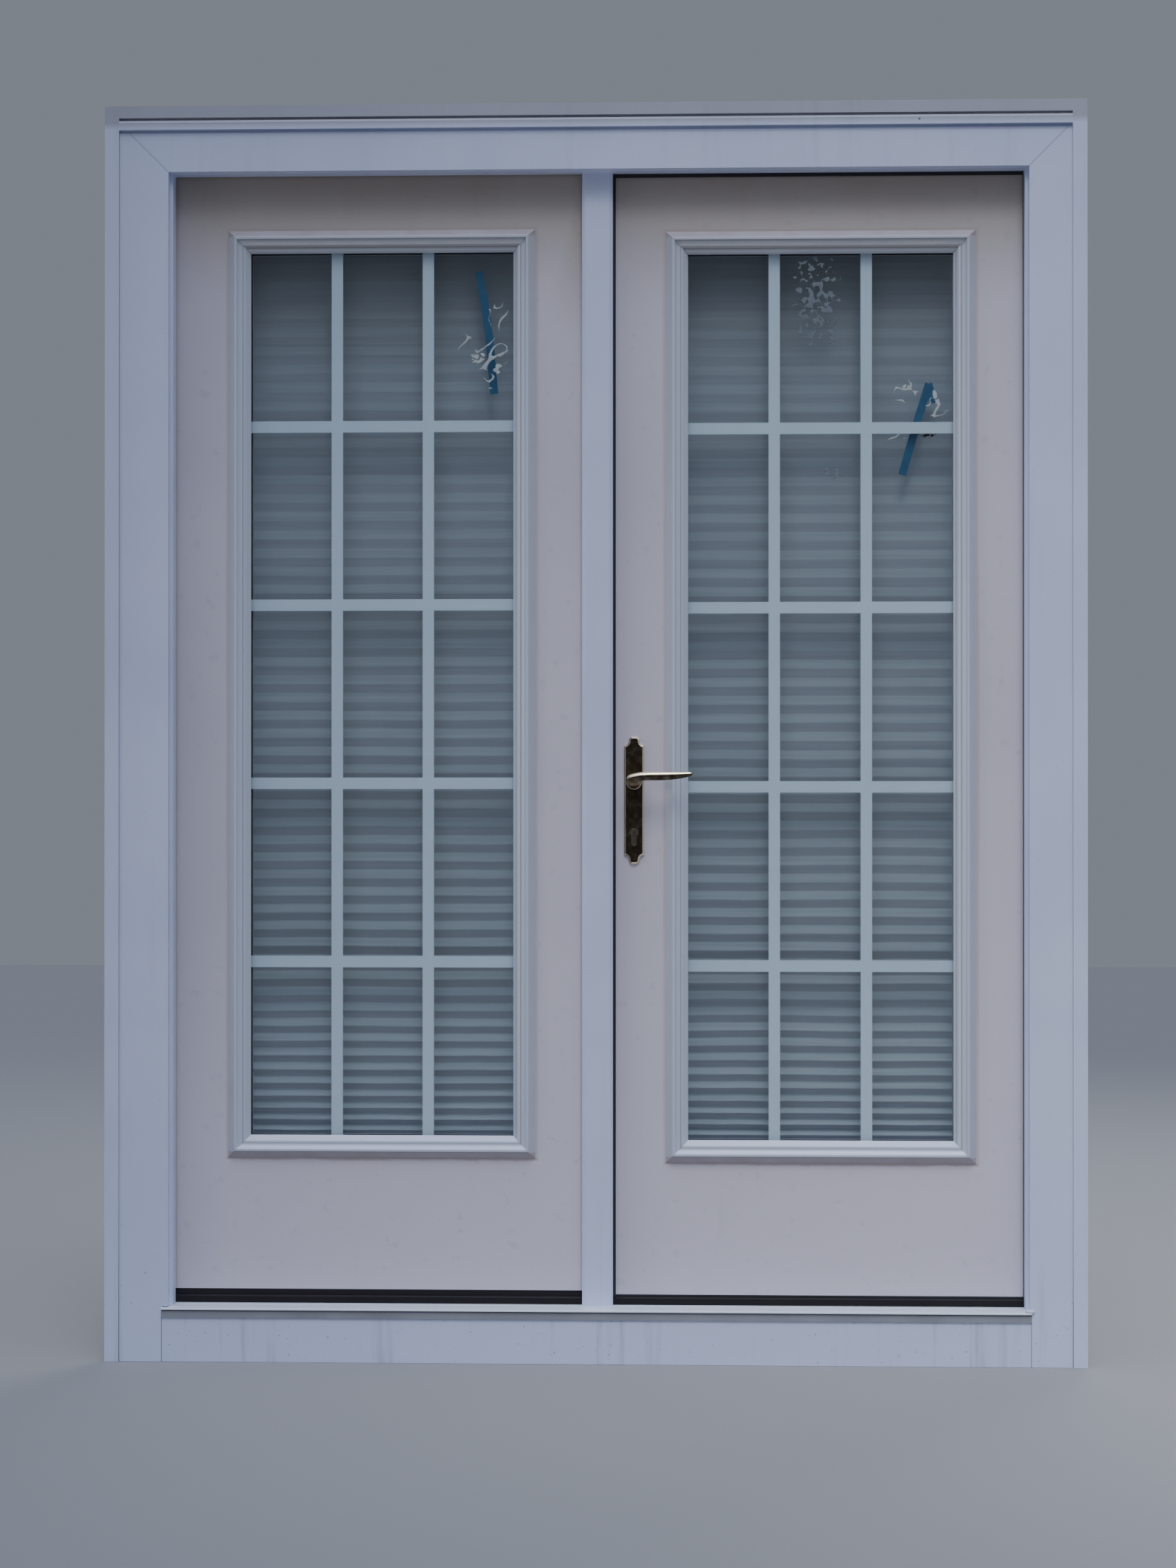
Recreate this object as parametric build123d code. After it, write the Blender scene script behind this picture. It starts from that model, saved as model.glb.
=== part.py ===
from build123d import *
import os
from math import cos, pi

os.makedirs("parts", exist_ok=True)

# A pair of french doors in one frame, seen from outside along +Y: a fixed leaf on the left, an inward
# opening leaf on the right, a T-shaped mullion between them, flat casings, a sill and its apron board.
# Millimetres. The parts are drawn with Y = 0 at the leaves' outer face and +Y into the house, and saved
# with Y = 0 at the wall's outer face, which is the back of the casings. Z = 0 is the foot of the casings
# and of the apron, and X = 0 is the middle of the mullion.

# Leaves
leaf_width = 760.0
leaf_height = 2032.0
leaf_thickness = 44.5
leaf_bevel = 2.0  # the lock edge is cut back this much at the outer face, so that it clears the post
edge_gap = 3.0  # between a leaf's edge and the rabbet beside it
active_drop = 6.5  # the opening leaf hangs this much lower than the fixed one

# Frame
post_width = 30.0
rabbet_depth = 12.7
seal_gap = 5.0  # between a stop and the leaf behind it
stop_depth = 32.0
jamb_board = 19.0
mullion_flange = 13.0
mullion_chamfer_width = 6.0
mullion_chamfer_depth = 4.0
kerf_inset = 2.0
kerf_width = 3.0
kerf_depth = 9.0

# Casings and outer trims
side_reveal = 6.0
head_reveal = 1.0
casing_thickness = 17.0
left_casing_width = 89.0
right_casing_width = 77.0
head_casing_height = 70.0
trim_width = 26.0
trim_wall = 2.0
trim_depth = 20.0
head_trim_height = 21.5
shadow_gap = 5.0  # open line below and above the drip cap
drip_face = 17.0
drip_chamfer = 4.25
drip_reach = 7.0  # how far the drip cap's face stands in front of the casing
trim_foot = 12.0
left_horn = 12.0  # the sill and the apron run this far behind the left casing's inner edge
right_horn = 3.0

# Sill and apron
apron_height = 80.0
apron_thickness = 16.0
base_height = 12.0
base_groove = 2.5
groove_depth = 4.0
deck_thickness = 3.5
deck_rise = 2.0
nosing_overhang = 3.5
base_reach = 2.0  # how far the sill's wooden base stands in front of the casing
deck_channel_width = 18.0
deck_channel_depth = 1.0
cap_height = 14.0
cap_front = 4.0
cap_chamfer = 2.5
fixed_gap = 11.0  # between the threshold cap and the fixed leaf

# Lites
lite_face = 40.0
top_margin = 108.0  # from the leaf's top to the lite frame
bottom_margin = 239.0  # from the lite frame to the leaf's bottom
side_margin = 100.5  # from the leaf's edges to the lite frame, before the offset below
lite_offset = 5.0  # the lites sit this far right of the leaves' middle
glass_recess = 11.5
tape_thickness = 1.5
lip_edge = 3.5
slope_run = 9.5
slope_top = 4.5
step_run = 5.0
cove_run = 9.5
cove_radius = 10.2
ridge_flat = 3.5
ridge_height = 13.5
frame_edge = 1.0
unit_lap = 13.0  # glass hidden behind the frame's lip
tape_inset = 1.0
leg_clearance = 1.0
leg_wall = 4.0
frame_meeting_gap = 0.2  # from each frame to the middle of the leaf
step_drop = 1.0
pane_thickness = 3.2
spacer_width = 8.0
spacer_inset = 3.0
bar_width = 20.6
bar_thickness = 8.0
bars_up = 2
bars_across = 4

# Pleated shades
shade_lap = 20.5  # the shade covers this much beside the visible glass
shade_clearance = 3.0
fabric_thickness = 1.2
pleat_depth = 16.0
pleat_pitch = 33.0
last_pitch = 24.0
even_share = 0.55  # of the drop, from the top, over which the pleats keep their full pitch
headrail_height = 34.0
headrail_depth = 36.0
headrail_lift = 3.0  # above the lite frame
bottom_rail_height = 14.0
bottom_rail_chamfer = 2.8
shade_drop = 12.0  # the bottom rail hangs this much below the lite frame
bracket_width = 22.0
bracket_wall = 2.0

# Hinges
hinge_height = 102.0
hinge_plate = 2.5
hinge_plate_depth = 30.0
knuckle_radius = 6.5
knuckle_count = 3
knuckle_gap = 0.3
pin_radius = 3.0
pin_clearance = 0.2
pin_head_radius = 4.6
pin_head_height = 3.0
hinge_clearance = 0.8
hinge_from_bottom = 250.0
hinge_from_top = 180.0

# Seals
bulb_clearance = 0.3
head_seal_reach = 6.5
latch_seal_reach = 5.0
hinge_seal_reach = 1.5
seal_leg = 2.6
seal_nose = 2.1  # how much of the bulb's front is rounded away
leg_end_gap = 1.0
gasket_width = 8.0
gasket_inset = 1.0
sweep_plate = 2.0
sweep_inset = 1.0
sweep_fins = 4
sweep_fin_wall = 2.0

# Lock and handles
backset = 48.0
lever_height = 928.0  # lever axis above the leaf's bottom
lock_pitch = 92.0  # from the lever axis down to the key cylinder
plate_width = 36.0
plate_height = 230.0
plate_offset = 33.5  # lever axis above the plate's middle
plate_thickness = 6.5
plate_chamfer = 3.0
plate_end = 16.0
plate_nub = 19.0
plate_nub_cut = 4.0
collar_radius = 14.0
collar_height = 5.0
collar_chamfer = 1.6
neck_radius = 8.0
running_clearance = 0.4
neck_foot_radius = 12.5
lever_reach = 50.0  # from the leaf's face to the middle of the lever
lever_length = 107.0
lever_top = 18.0  # the grip's straight upper edge above the lever axis
lever_belly = 15.0  # height of the grip where it leaves the boss
lever_sag = 5.0
lever_tip = 6.0
boss_radius = 13.5
curl_sag = 4.4
grip_thickness = 16.0
tip_thickness = 8.0
lever_chamfer = 2.0
spindle_side = 8.0
follower_radius = 10.0
cylinder_radius = 8.5
cylinder_height = 33.0
cylinder_web = 10.0
cylinder_proud = 3.0
case_width = 15.0
case_depth = 72.0
case_above = 34.0
case_below = 28.0
faceplate_width = 20.0
faceplate_height = 240.0
faceplate_thickness = 3.0
latch_width = 12.0
latch_height = 18.0
latch_throw = 11.0
latch_body = 20.0
latch_slope = 8.8
deadbolt_width = 12.0
deadbolt_height = 30.0
deadbolt_body = 34.0
deadbolt_throw = 13.0
bolt_clearance = 0.4
pocket_clearance = 1.0
strike_thickness = 2.0
strike_width = 24.0
strike_margin = 16.0
thumb_length = 32.0
thumb_width = 12.0
thumb_depth = 14.0
thumb_stem_radius = 5.0
thumb_gap = 8.0
through_bolt_radius = 2.5
bolt_head_radius = 4.5
bolt_head_height = 2.0
bolt_above = 62.0  # upper through bolt above the lever axis
bolt_below = 124.0  # lower through bolt below the lever axis

# Screws and wall fixings
wall_hole_radius = 2.75
wall_hole_depth_spacing = 20.0
wall_hole_inset = 450.0  # from each end of a jamb
shim_height = 60.0
shim_inset = 4.0
shim_shares = (0.15, 0.54, 0.92)  # of the fixed leaf's height

# Places across the width
post_half = post_width / 2
leaf_in = post_half + edge_gap
leaf_out = leaf_in + leaf_width
fixed_lite_x = lite_offset - (leaf_in + leaf_out) / 2
active_lite_x = lite_offset + (leaf_in + leaf_out) / 2
lite_width = leaf_width - 2 * (side_margin + lite_face)
shade_width = lite_width + 2 * shade_lap
rabbet_x = leaf_out + edge_gap
stop_x = rabbet_x - rabbet_depth
jamb_out = rabbet_x + jamb_board
flange_half = post_half + rabbet_depth
casing_in = stop_x + side_reveal
left_casing_out = casing_in + left_casing_width
right_casing_out = casing_in + right_casing_width

# Places through the depth
leaf_mid_y = leaf_thickness / 2
stop_back = -seal_gap
jamb_front = stop_back - stop_depth
casing_front = jamb_front - casing_thickness
base_front = casing_front - base_reach
nosing_front = base_front - nosing_overhang
trim_front = jamb_front - trim_depth

# Places up the height
lite_height = leaf_height - top_margin - bottom_margin - 2 * lite_face
base_top = apron_height + base_height + base_groove
deck_front_z = base_top + deck_thickness
deck_back_z = deck_front_z + deck_rise
cap_top = deck_back_z + cap_height
fixed_bottom = cap_top + fixed_gap
active_bottom = fixed_bottom - active_drop
head_rabbet_z = fixed_bottom + leaf_height + edge_gap
head_stop_z = head_rabbet_z - rabbet_depth
jamb_top = head_rabbet_z + jamb_board
casing_low = head_stop_z + head_reveal
casing_top = casing_low + head_casing_height
drip_low = casing_top + shadow_gap
drip_top = drip_low + drip_face
head_trim_low = drip_top + shadow_gap
head_trim_top = head_trim_low + head_trim_height


def block(x0, x1, y0, y1, z0, z1):
    return Pos((x0 + x1) / 2, (y0 + y1) / 2, (z0 + z1) / 2) * Box(x1 - x0, y1 - y0, z1 - z0)


def upright(outline, z0, z1):
    return extrude(Plane.XY.offset(z0) * outline, z1 - z0)


def across(outline, x0, x1):
    return extrude(Plane.YZ.offset(x0) * outline, x1 - x0)


def through(outline, y0, y1):
    return extrude(Plane.XZ.offset(-y1) * outline, y1 - y0)


def shape(*points):
    return Polygon(*points, align=None)


def rod(radius, x, z, y0, y1):
    return Pos(x, (y0 + y1) / 2, z) * Rot(90, 0, 0) * Cylinder(radius, y1 - y0)


def swapped(part):
    return mirror(part, Plane.YZ)


def turned_inside(part):
    return mirror(part, Plane.XZ.offset(-leaf_mid_y))


def save(name, *pieces):
    solids = [solid for piece in pieces for solid in piece.solids()]
    part = solids[0] if len(solids) == 1 else Compound(solids)
    part = Pos(0, -jamb_front, 0) * part
    part.label = name
    export_step(part, f"parts/{name}.step")


# Frame

def jamb_section():
    section = shape(
        (stop_x, jamb_front), (jamb_out, jamb_front), (jamb_out, leaf_thickness),
        (rabbet_x, leaf_thickness), (rabbet_x, stop_back), (stop_x, stop_back),
    )
    kerf_out = rabbet_x - kerf_inset
    kerf = shape(
        (kerf_out - kerf_width, stop_back - kerf_depth), (kerf_out, stop_back - kerf_depth),
        (kerf_out, stop_back), (kerf_out - kerf_width, stop_back),
    )
    return section - kerf


def wall_holes():
    holes = []
    for z in (apron_height + wall_hole_inset, jamb_top - wall_hole_inset):
        for side in (-1, 1):
            y = leaf_mid_y + side * wall_hole_depth_spacing / 2
            hole = Pos((rabbet_x + jamb_out) / 2, y, z) * Rot(0, 90, 0)
            holes.append(hole * Cylinder(wall_hole_radius, jamb_board))
    return holes


def hinge_heights():
    low = active_bottom + hinge_from_bottom
    high = active_bottom + leaf_height - hinge_from_top
    return (low, (low + high) / 2, high)


def right_jamb():
    jamb = upright(jamb_section(), apron_height, jamb_top) - wall_holes()
    for z in hinge_heights():
        jamb -= block(rabbet_x, rabbet_x + hinge_plate, leaf_thickness - hinge_plate_depth,
                      leaf_thickness, z - hinge_height / 2, z + hinge_height / 2)
    return jamb


def left_jamb():
    return swapped(upright(jamb_section(), apron_height, jamb_top) - wall_holes())


def head_jamb():
    kerf_top = head_rabbet_z - kerf_inset
    section = shape(
        (jamb_front, head_stop_z), (stop_back, head_stop_z), (stop_back, head_rabbet_z),
        (leaf_thickness, head_rabbet_z), (leaf_thickness, jamb_top), (jamb_front, jamb_top),
    ) - shape(
        (stop_back - kerf_depth, kerf_top - kerf_width), (stop_back, kerf_top - kerf_width),
        (stop_back, kerf_top), (stop_back - kerf_depth, kerf_top),
    )
    ends = block(stop_x, jamb_out, jamb_front, stop_back, head_stop_z, jamb_top)
    return across(section, -rabbet_x, rabbet_x) - ends - swapped(ends)


def centre_mullion():
    nose = stop_back - mullion_flange
    shoulder = nose + mullion_chamfer_depth
    face_half = flange_half - mullion_chamfer_width
    section = shape(
        (-face_half, nose), (face_half, nose), (flange_half, shoulder), (flange_half, stop_back),
        (post_half, stop_back), (post_half, leaf_thickness), (-post_half, leaf_thickness),
        (-post_half, stop_back), (-flange_half, stop_back), (-flange_half, shoulder),
    )
    kerf_in = post_half + kerf_inset
    kerf = shape(
        (kerf_in, stop_back - kerf_depth), (kerf_in + kerf_width, stop_back - kerf_depth),
        (kerf_in + kerf_width, stop_back), (kerf_in, stop_back),
    )
    post = upright(section - kerf, base_top, head_rabbet_z)
    post -= block(-flange_half, flange_half, nose, stop_back, head_stop_z, head_rabbet_z)
    for solid in (sill_deck(), threshold_cap(), strike_plate(), *bolt_pockets()):
        post -= solid
    return post


def bolt_pockets():
    pockets = []
    for z, width, height, throw in (
        (axis_z, latch_width, latch_height, latch_throw),
        (key_z, deadbolt_width, deadbolt_height, deadbolt_throw),
    ):
        half_y = width / 2 + pocket_clearance
        half_z = height / 2 + pocket_clearance
        pockets.append(block(lock_edge_x() - throw - pocket_clearance, post_half,
                             leaf_mid_y - half_y, leaf_mid_y + half_y, z - half_z, z + half_z))
    return pockets


def strike_plate():
    low = key_z - deadbolt_height / 2 - strike_margin
    high = axis_z + latch_height / 2 + strike_margin
    plate = block(post_half - strike_thickness, post_half, leaf_mid_y - strike_width / 2,
                  leaf_mid_y + strike_width / 2, low, high)
    return plate - bolt_pockets()


# Sill

def sill_base():
    section = shape(
        (base_front, apron_height), (leaf_thickness, apron_height), (leaf_thickness, base_top),
        (base_front + groove_depth, base_top), (base_front + groove_depth, base_top - base_groove),
        (base_front, base_top - base_groove),
    )
    return between_jambs(across(section, -casing_in - left_horn, casing_in + right_horn))


def sill_deck():
    drop = deck_rise / (nosing_front + cap_front)
    channel_back = -cap_front - deck_channel_width / 2
    channel_front = channel_back - deck_channel_width

    def top(y):
        return deck_front_z + drop * (nosing_front - y)

    section = shape(
        (nosing_front, base_top), (-cap_front, base_top), (-cap_front, top(-cap_front)),
        (channel_back, top(channel_back)), (channel_back, top(channel_back) - deck_channel_depth),
        (channel_front, top(channel_front) - deck_channel_depth), (channel_front, top(channel_front)),
        (nosing_front + deck_thickness / 2, top(nosing_front)),
        (nosing_front, base_top + deck_thickness / 2),
    )
    return between_jambs(across(section, -casing_in - left_horn, casing_in + right_horn))


def between_jambs(part):
    side = block(stop_x, jamb_out, jamb_front, leaf_thickness, 0, jamb_top)
    side -= block(stop_x, rabbet_x, stop_back, leaf_thickness, 0, jamb_top)
    return part - side - swapped(side)


def threshold_cap():
    section = shape(
        (-cap_front, base_top), (leaf_thickness, base_top), (leaf_thickness, cap_top - cap_chamfer),
        (leaf_thickness - cap_chamfer, cap_top), (cap_chamfer - cap_front, cap_top),
        (-cap_front, cap_top - cap_chamfer),
    )
    return between_jambs(across(section, -rabbet_x, rabbet_x))


def apron_board():
    return block(-casing_in - left_horn, casing_in + right_horn, jamb_front - apron_thickness,
                 jamb_front, 0, apron_height)


# Casings and outer trims

def side_casing(width, horn):
    outline = shape(
        (casing_in + horn, 0), (casing_in + width, 0), (casing_in + width, casing_top),
        (casing_in + head_casing_height, casing_top), (casing_in, casing_low),
        (casing_in, deck_front_z), (casing_in + horn, deck_front_z),
    )
    board = through(outline, casing_front, jamb_front)
    notch = block(casing_in, casing_in + horn, casing_front, jamb_front, 0, deck_back_z)
    return board - notch


def head_casing():
    reach = casing_in + head_casing_height
    outline = shape(
        (-casing_in, casing_low), (casing_in, casing_low), (reach, casing_top), (-reach, casing_top)
    )
    return through(outline, casing_front, jamb_front)


def drip_cap():
    face = casing_front - drip_reach
    foot = jamb_front - trim_foot
    section = shape(
        (foot, casing_top), (jamb_front, casing_top), (jamb_front, head_trim_low),
        (foot, head_trim_low), (foot, drip_top), (face + drip_chamfer, drip_top),
        (face, drip_top - drip_chamfer), (face, drip_low), (foot, drip_low),
    )
    return across(section, -left_casing_out, right_casing_out)


def side_trim(inner, top):
    # a folded channel, open on its outer side, where the wall's boards would end
    outer = inner + trim_width
    channel = block(inner, outer, trim_front, jamb_front, 0, top)
    return channel - block(inner + trim_wall, outer, trim_front + trim_wall,
                           jamb_front - trim_wall, 0, top)


def head_trim():
    left = -left_casing_out - trim_width
    right = right_casing_out + trim_width
    channel = block(left, right, trim_front, jamb_front, head_trim_low, head_trim_top)
    channel -= block(left, right, trim_front + trim_wall, jamb_front - trim_wall,
                     head_trim_low + trim_wall, head_trim_top)
    return channel - block(right_casing_out, right, trim_front, jamb_front, head_trim_low,
                           head_trim_top - 2 * trim_wall)


# Seals

def bulb(stop_edge, rabbet_edge, reach, kerf_edge):
    # section of a seal across its run: a flattened bulb, and the leg that fills the kerf
    tip = stop_edge - reach
    leg_in = kerf_edge - kerf_width / 2 - seal_leg / 2
    leg_end = stop_back - kerf_depth + leg_end_gap
    return shape(
        (rabbet_edge - bulb_clearance, stop_back), (rabbet_edge - bulb_clearance, -bulb_clearance),
        (tip + seal_nose, -bulb_clearance), (tip, stop_back + seal_nose + bulb_clearance),
        (tip + seal_nose / 2, stop_back), (leg_in, stop_back), (leg_in, leg_end),
        (leg_in + seal_leg, leg_end), (leg_in + seal_leg, stop_back),
    )


def hinge_seal():
    section = bulb(stop_x, rabbet_x, hinge_seal_reach, rabbet_x - kerf_inset)
    return upright(section, cap_top, head_stop_z - head_seal_reach)


def latch_seal():
    section = bulb(-flange_half, -post_half, latch_seal_reach, -post_half - kerf_inset)
    return swapped(upright(section, cap_top, head_stop_z - head_seal_reach))


def head_seal():
    section = bulb(head_stop_z, head_rabbet_z, head_seal_reach, head_rabbet_z - kerf_inset)
    length = rabbet_x - post_half - 2 * bulb_clearance
    bar = extrude(section, length)
    # the section's first axis turns from X to Z, and its run from Z to X
    seal = Pos(post_half + bulb_clearance + length, 0, 0) * Rot(0, -90, 0) * bar
    return seal - block(stop_x, rabbet_x, jamb_front, stop_back, head_stop_z, head_rabbet_z)


def fixed_leaf_gasket():
    left = -(stop_x + gasket_inset)
    right = -(flange_half - gasket_inset)
    top = head_stop_z + gasket_inset
    run = (stop_back, 0.0)
    sides = block(left - gasket_width, left, *run, cap_top, top + gasket_width)
    sides += block(right, right + gasket_width, *run, cap_top, top + gasket_width)
    return sides + block(left - gasket_width, right + gasket_width, *run, top, top + gasket_width)


def fixed_leaf_block():
    return block(-leaf_out, -leaf_in, 0, leaf_thickness, cap_top, fixed_bottom)


def door_sweep():
    fin_low = cap_top + bulb_clearance
    sweep = block(leaf_in, leaf_out, sweep_inset, leaf_thickness - sweep_inset,
                  active_bottom - sweep_plate, active_bottom)
    room = leaf_thickness - 2 * sweep_inset - sweep_fin_wall
    for n in range(sweep_fins):
        y = sweep_inset + n * room / (sweep_fins - 1)
        sweep += block(leaf_in, leaf_out, y, y + sweep_fin_wall, fin_low, active_bottom)
    return sweep


# Fixings of the fixed leaf

def shims():
    # wedged between the fixed leaf's edges and the frame, under the screws that hold the leaf
    pieces = []
    for share in shim_shares:
        z = fixed_bottom + share * leaf_height
        for x0, x1 in ((-rabbet_x, -leaf_out), (-leaf_in, -post_half)):
            pieces.append(block(x0, x1, shim_inset, leaf_thickness - shim_inset,
                                z - shim_height / 2, z + shim_height / 2))
    return pieces


# Leaves

def lite_middle(bottom):
    frame_height = lite_height + 2 * lite_face
    return bottom + leaf_height - top_margin - frame_height / 2


def cut_out(middle, bottom):
    half_w = lite_width / 2 + unit_lap + leg_wall + 2 * leg_clearance
    half_h = lite_height / 2 + unit_lap + leg_wall + 2 * leg_clearance
    z = lite_middle(bottom)
    return block(middle - half_w, middle + half_w, 0, leaf_thickness, z - half_h, z + half_h)


def fixed_slab():
    slab = block(-leaf_out, -leaf_in, 0, leaf_thickness, fixed_bottom, fixed_bottom + leaf_height)
    return slab - cut_out(fixed_lite_x, fixed_bottom)


def active_slab():
    outline = shape(
        (leaf_in + leaf_bevel, 0), (leaf_out, 0), (leaf_out, leaf_thickness),
        (leaf_in, leaf_thickness),
    )
    slab = upright(outline, active_bottom, active_bottom + leaf_height)
    slab -= cut_out(active_lite_x, active_bottom)
    for z in hinge_heights():
        slab -= block(leaf_out - hinge_plate, leaf_out, leaf_thickness - hinge_plate_depth,
                      leaf_thickness, z - hinge_height / 2, z + hinge_height / 2)
    return slab - lock_mortise()


def lite_section():
    # t runs outwards from the edge of the visible glass, y is the depth of the door
    lip_back = glass_recess - tape_thickness
    step = slope_run + step_run
    ridge = step + cove_run
    leg_in = unit_lap + leg_clearance
    leg_end = leaf_mid_y - frame_meeting_gap
    cove_start = (step, -slope_top - step_drop)
    cove_end = (ridge, -ridge_height)
    line = Polyline(
        cove_start, (slope_run, -slope_top), (0, lip_back - lip_edge),
        (0, lip_back), (leg_in, lip_back), (leg_in, leg_end), (leg_in + leg_wall, leg_end),
        (leg_in + leg_wall, 0), (lite_face, 0), (lite_face, -frame_edge),
        (ridge + ridge_flat, -ridge_height), cove_end,
    )
    return make_face(line + RadiusArc(cove_start, cove_end, cove_radius))


def mitred_member(section, gap_half, run_half, reach):
    length = 2 * (run_half + reach)
    bar = Pos(gap_half, 0, -length / 2) * extrude(section, length)
    ends = shape(
        (gap_half, -run_half), (gap_half + reach, -run_half - reach),
        (gap_half + reach, run_half + reach), (gap_half, run_half),
    )
    return bar & through(ends, -leaf_thickness, 2 * leaf_thickness)


def mitred_ring(section, width, height, reach):
    side = mitred_member(section, width / 2, height / 2, reach)
    top = Rot(0, -90, 0) * mitred_member(section, height / 2, width / 2, reach)
    return side + swapped(side) + top + mirror(top, Plane.XY)


def flat_ring(t0, t1, y0, y1):
    outer = Box(lite_width + 2 * t1, y1 - y0, lite_height + 2 * t1)
    inner = Box(lite_width + 2 * t0, y1 - y0, lite_height + 2 * t0)
    return Pos(0, (y0 + y1) / 2, 0) * (outer - inner)


def grille():
    half_y = bar_thickness / 2
    end_w = lite_width / 2 + spacer_inset
    end_h = lite_height / 2 + spacer_inset
    pane_w = (lite_width - bars_up * bar_width) / (bars_up + 1)
    pane_h = (lite_height - bars_across * bar_width) / (bars_across + 1)
    uprights = []
    crossbars = []
    for n in range(bars_up):
        x = -lite_width / 2 + (n + 1) * (pane_w + bar_width) - bar_width / 2
        uprights.append(block(x - bar_width / 2, x + bar_width / 2, leaf_mid_y - half_y,
                              leaf_mid_y + half_y, -end_h, end_h))
    for n in range(bars_across):
        z = -lite_height / 2 + (n + 1) * (pane_h + bar_width) - bar_width / 2
        crossbars.append(block(-end_w, end_w, leaf_mid_y - half_y, leaf_mid_y + half_y,
                               z - bar_width / 2, z + bar_width / 2))
    # the bars are halved where they cross
    front = block(-lite_width, lite_width, 0, leaf_mid_y, -lite_height, lite_height)
    back = block(-lite_width, lite_width, leaf_mid_y, leaf_thickness, -lite_height, lite_height)
    halved_up = [bar - [cross & back for cross in crossbars] for bar in uprights]
    halved_across = [bar - [up & front for up in uprights] for bar in crossbars]
    return halved_up + halved_across


def save_lite(side, middle, bottom):
    place = Pos(middle, 0, lite_middle(bottom))
    outer_frame = mitred_ring(lite_section(), lite_width, lite_height, lite_face + leg_clearance)
    pane_w = lite_width + 2 * unit_lap
    pane_h = lite_height + 2 * unit_lap
    pane = Pos(0, glass_recess + pane_thickness / 2, 0) * Box(pane_w, pane_thickness, pane_h)
    tape = flat_ring(tape_inset, unit_lap - tape_inset, glass_recess - tape_thickness, glass_recess)
    cavity_front = glass_recess + pane_thickness
    spacer = flat_ring(spacer_inset, spacer_inset + spacer_width, cavity_front,
                       leaf_thickness - cavity_front)
    save(f"{side}_outer_lite_frame", place * outer_frame)
    save(f"{side}_inner_lite_frame", place * turned_inside(outer_frame))
    save(f"{side}_glass_panes", place * pane, place * turned_inside(pane))
    save(f"{side}_glazing_tapes", place * tape, place * turned_inside(tape))
    save(f"{side}_glass_spacer", place * spacer)
    save(f"{side}_grille_bars", *[place * bar for bar in grille()])


# Shades

def shade_front():
    return leaf_thickness + ridge_height + shade_clearance


def fold_heights(top, low):
    # the folds hang open at the top and close up towards the bottom rail under the cloth's own weight
    heights = [top]
    pitch = pleat_pitch
    while heights[-1] - pitch / 2 > low:
        heights.append(heights[-1] - pitch / 2)
        done = (top - heights[-1]) / (top - low)
        ease = max(0.0, (done - even_share) / (1 - even_share))
        pitch = pleat_pitch - (pleat_pitch - last_pitch) * (1 - cos(pi * ease)) / 2
    heights.append(low)
    return heights


def shade_fabric(middle, top, low):
    front = shade_front()
    back = front + pleat_depth
    folds = fold_heights(top, low)
    near = [(front if n % 2 == 0 else back, z) for n, z in enumerate(folds)]
    far = [(y + fabric_thickness, z) for y, z in reversed(near)]
    return across(shape(*near, *far), middle - shade_width / 2, middle + shade_width / 2)


def save_shade(side, middle, bottom):
    frame_half = lite_height / 2 + lite_face
    rail_low = lite_middle(bottom) + frame_half + headrail_lift
    foot = lite_middle(bottom) - frame_half - shade_drop
    half = shade_width / 2
    front = shade_front() + (pleat_depth + fabric_thickness - headrail_depth) / 2
    back = front + headrail_depth
    rail_top = rail_low + headrail_height
    wall = bracket_wall
    headrail = block(middle - half, middle + half, front, back, rail_low, rail_top)
    headrail = fillet(headrail.edges().filter_by(Axis.X).group_by(Axis.Y)[-1], wall)
    brackets = []
    for x in (middle - half + bracket_width, middle + half - 2 * bracket_width):
        bracket = block(x, x + bracket_width, leaf_thickness, leaf_thickness + wall,
                        rail_low, rail_top + wall)
        bracket += block(x, x + bracket_width, leaf_thickness, back, rail_top, rail_top + wall)
        brackets.append(bracket)
    rail_front = shade_front() - wall / 2
    rail_back = shade_front() + pleat_depth + fabric_thickness + wall / 2
    bottom_rail = block(middle - half, middle + half, rail_front, rail_back,
                        foot, foot + bottom_rail_height)
    bottom_rail = chamfer(bottom_rail.edges().filter_by(Axis.X), bottom_rail_chamfer)
    save(f"{side}_shade_headrail", headrail, *brackets)
    save(f"{side}_shade_fabric", shade_fabric(middle, rail_low, foot + bottom_rail_height))
    save(f"{side}_shade_bottom_rail", bottom_rail)


# Hinges

pin_x = leaf_out + edge_gap / 2
pin_y = leaf_thickness + knuckle_radius + hinge_clearance


def knuckle_spans(z):
    step = hinge_height / knuckle_count
    low = z - hinge_height / 2
    return [(low + n * step + knuckle_gap / 2, low + (n + 1) * step - knuckle_gap / 2)
            for n in range(knuckle_count)]


def hinge_half(z, plate_x, first):
    half = block(plate_x, plate_x + hinge_plate, leaf_thickness - hinge_plate_depth, leaf_thickness,
                 z - hinge_height / 2, z + hinge_height / 2)
    for low, high in knuckle_spans(z)[first::2]:
        barrel = Pos(pin_x, pin_y, (low + high) / 2) * Cylinder(knuckle_radius, high - low)
        half += block(plate_x, plate_x + hinge_plate, leaf_thickness, pin_y, low, high)
        half += barrel
    return half


def frame_hinge(z):
    # the pin is pressed into this half's knuckles and is one piece with them
    pin = Pos(pin_x, pin_y, z) * Cylinder(pin_radius, hinge_height * 2 / knuckle_count)
    half = hinge_half(z, rabbet_x, 0) + pin
    head = Cylinder(pin_head_radius, pin_head_height, align=(Align.CENTER, Align.CENTER, Align.MIN))
    return half + Pos(pin_x, pin_y, z + hinge_height / 2 - knuckle_gap / 2) * head


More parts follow.
